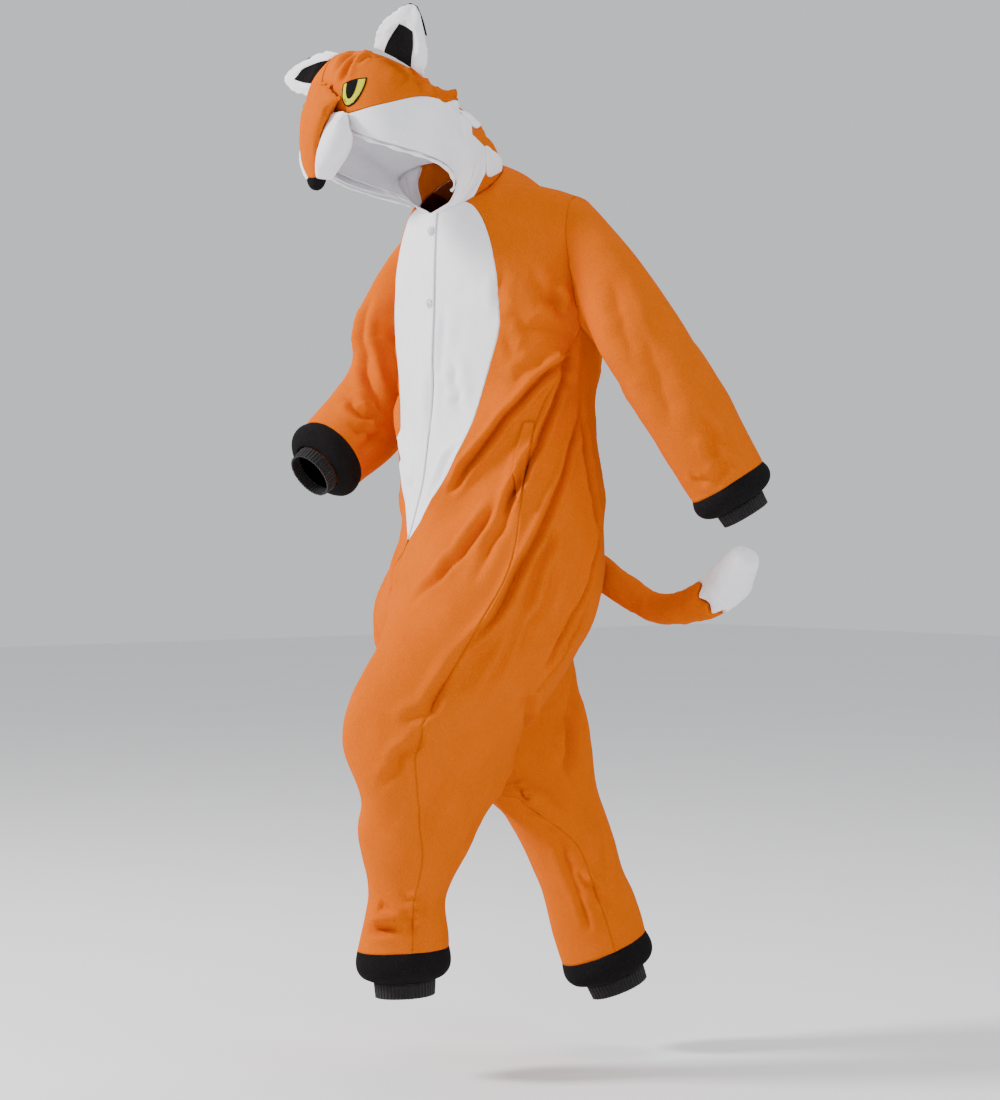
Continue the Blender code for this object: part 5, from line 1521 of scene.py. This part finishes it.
# ---- the whole onesie ---------------------------------------------------------
@dataclass
class Onesie:
    """The onesie's cloth, stuffed pieces and trims, made in order."""

    wardrobe: Wardrobe
    levels: int = 3
    band_levels: int = 2
    tuft_height: float = 0.0022
    far_body: tuple[float, Point] = (0.75, (0.0, 0.0, -0.018))      # far creases' depth share and shift
    far_hood: tuple[float, Point] = (0.6, (0.0, 0.0, 0.012))        # the same for the flank and hood

    def folds(self) -> list[Fold]:
        """Gather all creases, with softer ones like them on the far side.

        Returns:
            The creases.
        """
        every = FRONT_FOLDS + SIDE_FOLDS + BELLY_FOLDS + LEG_FOLDS + SLEEVE_FOLDS + BACK_FOLDS + HOOD_FOLDS
        every += [fold.flipped(*self.far_body) for fold in FRONT_FOLDS + BACK_FOLDS[1:]]
        every += [fold.flipped(*self.far_hood) for fold in SIDE_FOLDS + HOOD_FOLDS[3:8]]
        return every

    def make_cloth(self) -> Panels:
        """Make the panels, hood, cuffs and flat trims.

        Returns:
            The panels.
        """
        cloth = ClothField(cloth_solids(), self.folds())
        panels = Panels(cloth, self.wardrobe, per_side(CUTS), per_side(HELD))
        for side in ("left", "right"):
            for panel in ("front", "back", "sleeve"):
                panels.add(f"{panel}_{side}", Finish.ORANGE, self.levels)
            panels.add(f"belly_{side}", Finish.WHITE, self.levels, 0.8)
            panels.add(f"crown_{side}", Finish.ORANGE, self.levels, 0.7)
            panels.add(f"cheek_{side}", Finish.WHITE, self.levels, 0.6)
            for band in ("wrist_band", "ankle_band"):
                panels.add(f"{band}_{side}", Finish.BLACK, self.band_levels, crease=60.0)
            panels.add(f"pocket_{side}", Finish.ORANGE, self.levels)
        panels.add("hood_lining", Finish.WHITE, self.levels, 0.7)
        return panels

    def make_eyes(self, panels: Panels) -> Appliques:
        """Sew both eyes on the crown.

        Args:
            panels: the finished panels.

        Returns:
            The shapes sewn on.
        """
        shapes = Appliques(panels, self.wardrobe)
        left, right, low = (np.array(place) for place in EYE_PLACE)
        across, down = right - left, low - 0.5 * (left + right)
        for layer, finish, height, sharp in EYE_LAYERS:
            rim = [left + across * u + down * v for u, v in EYE_OUTLINES[layer]]
            for side in ("left", "right"):
                node = f"{layer}_{side}"
                piece = shapes.sew(f"sewn_{node}", rim, side, finish, height, sharp, node)
                panels.cuts[node].state(piece, "laid")
        return shapes

    def make_tufts(self, shapes: Appliques) -> None:
        """Sew the pointed white tufts behind both cheeks.

        Args:
            shapes: the maker of the shapes.
        """
        for name, rim in TUFTS.items():
            for side in ("left", "right"):
                corners = [np.array(place) for place in rim]
                piece = shapes.sew(f"tuft_{name}_{side}", corners, side, Finish.WHITE, self.tuft_height,
                                   (TUFT_TIP,))
                TUFT_CUTS[name].state(piece, "laid")

    def make_stuffed(self, panels: Panels) -> None:
        """Make the muzzle, nose, ears and tail.

        Args:
            panels: the finished panels.
        """
        stuffed = Stuffed(self.wardrobe)
        stuffed.add("muzzle_bridge", "bridge", Finish.ORANGE, FILLINGS["bridge"])
        for side in ("left", "right"):
            muzzle = f"muzzle_{side}"
            stuffed.add(f"muzzle_pad_{side}", muzzle, Finish.WHITE, FILLINGS[muzzle])
        stuffed.add("nose_tip", "nose", Finish.BLACK, FILLINGS["nose"])
        for side in ("left", "right"):
            Ear(panels, stuffed, side).make()
        stuffed.add("tail_brush", "tail", Finish.ORANGE, FILLINGS["tail"])
        stuffed.add("tail_end", "tail_tip", Finish.WHITE, FILLINGS["tail"])

    def make_trims(self, panels: Panels) -> None:
        """Make the ribs, hem, studs and stitching.

        Args:
            panels: the finished panels.
        """
        trims = Trims(panels, self.wardrobe)
        for side in ("left", "right"):
            trims.rib(f"wrist_rib_{side}")
            trims.rib(f"ankle_rib_{side}")
        trims.roll("face_hem", Finish.WHITE)
        for node in ("snap_1", "snap_2"):
            trims.snap(node)
        trims.stitches("placket_stitches", PLACKET_ROWS, "belly_left", Finish.WHITE_THREAD)
        for side, sign in (("left", 1.0), ("right", -1.0)):
            rows = [[(sign * x, y, z) for x, y, z in row] for row in POCKET_ROWS]
            trims.stitches(f"pocket_stitches_{side}", rows, f"front_{side}", Finish.ORANGE_THREAD)


# ---- studio ---------------------------------------------------------------------
@dataclass(frozen=True)
class Lamp:
    """A soft area lamp: where it hangs, what it faces, its size, power and tint."""

    name: str
    place: Point
    aim: Point
    size: float
    power: float
    tint: tuple[float, float, float] = (1.0, 1.0, 1.0)


@dataclass
class Studio:
    """Pale floor, soft light and the camera."""

    azimuth: float = 50.0
    distance: float = 5.0
    aim_height: float = -0.529
    lens: float = 97.0
    sensor: float = 36.0            # both in millimetres
    rise: float = -0.0345           # of the picture, as a share of its longer side
    floor_size: float = 14.0
    sky: tuple[float, float, float, float] = (0.93, 0.945, 0.97, 1.0)
    sky_strength: float = 0.75
    lamps: tuple[Lamp, ...] = (
        Lamp("key", (-2.4, -4.0, 2.0), (0.0, 0.0, -0.5), 1.0, 420.0, (1.0, 0.985, 0.96)),
        Lamp("fill", (4.4, 0.6, 0.6), (0.0, 0.0, -0.7), 2.2, 70.0, (0.97, 0.985, 1.0)),
        Lamp("high", (2.2, -2.9, 1.5), (0.0, -0.25, 0.05), 0.9, 26.0),
        Lamp("top", (-0.6, 0.6, 3.4), (0.0, 0.0, -0.6), 1.6, 60.0),
    )

    def floor(self) -> None:
        """Lay the floor."""
        form = bmesh.new()
        bmesh.ops.create_grid(form, x_segments=8, y_segments=8, size=self.floor_size)
        mesh = mesh_from(form, "floor")
        ground = bpy.data.objects.new("floor", mesh)
        ground.location = (0.0, 0.0, FLOOR_HEIGHT)
        bpy.context.scene.collection.objects.link(ground)
        sheet = NodeSheet("floor_paint")
        cloudy = sheet.grain(2.0, 2.0)
        pale = tuple(min(1.0, part * 1.02) for part in Colour.FLOOR.value)
        colour = sheet.ramp(cloudy, [(0.3, Colour.FLOOR.value), (0.7, pale)])
        mesh.materials.append(sheet.done(colour, None, {"Roughness": 0.8}))

    def light(self) -> None:
        """Hang the lamps and set the pale surroundings."""
        for lamp in self.lamps:
            data = bpy.data.lights.new(lamp.name, "AREA")
            data.size = lamp.size
            data.energy = lamp.power
            data.color = lamp.tint
            item = bpy.data.objects.new(lamp.name, data)
            item.location = lamp.place
            way = Vector(lamp.aim) - Vector(lamp.place)
            item.rotation_euler = way.to_track_quat("-Z", "Y").to_euler()
            bpy.context.scene.collection.objects.link(item)
        world = bpy.data.worlds.new("studio")
        world.use_nodes = True
        sky = world.node_tree.nodes["Background"]
        sky.inputs["Color"].default_value = self.sky
        sky.inputs["Strength"].default_value = self.sky_strength
        bpy.context.scene.world = world

    def camera(self) -> None:
        """Place the level camera."""
        turn = math.radians(self.azimuth)
        way = Vector((-math.sin(turn), math.cos(turn), 0.0))
        data = bpy.data.cameras.new("view")
        data.lens = self.lens
        data.sensor_width = self.sensor
        data.shift_y = self.rise
        item = bpy.data.objects.new("view", data)
        item.location = Vector((0.0, 0.0, self.aim_height)) - way * self.distance
        item.rotation_euler = way.to_track_quat("-Z", "Y").to_euler()
        bpy.context.scene.collection.objects.link(item)
        bpy.context.scene.camera = item

    def build(self) -> None:
        """Build the whole studio."""
        self.floor()
        self.light()
        self.camera()


def main() -> None:
    """Build the onesie and its studio."""
    logging.basicConfig(level=logging.INFO, format="%(name)s: %(message)s")
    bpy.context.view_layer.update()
    wardrobe = Wardrobe()
    onesie = Onesie(wardrobe)
    panels = onesie.make_cloth()
    onesie.make_tufts(onesie.make_eyes(panels))
    onesie.make_stuffed(panels)
    onesie.make_trims(panels)
    Studio().build()


if __name__ == "__main__":
    main()
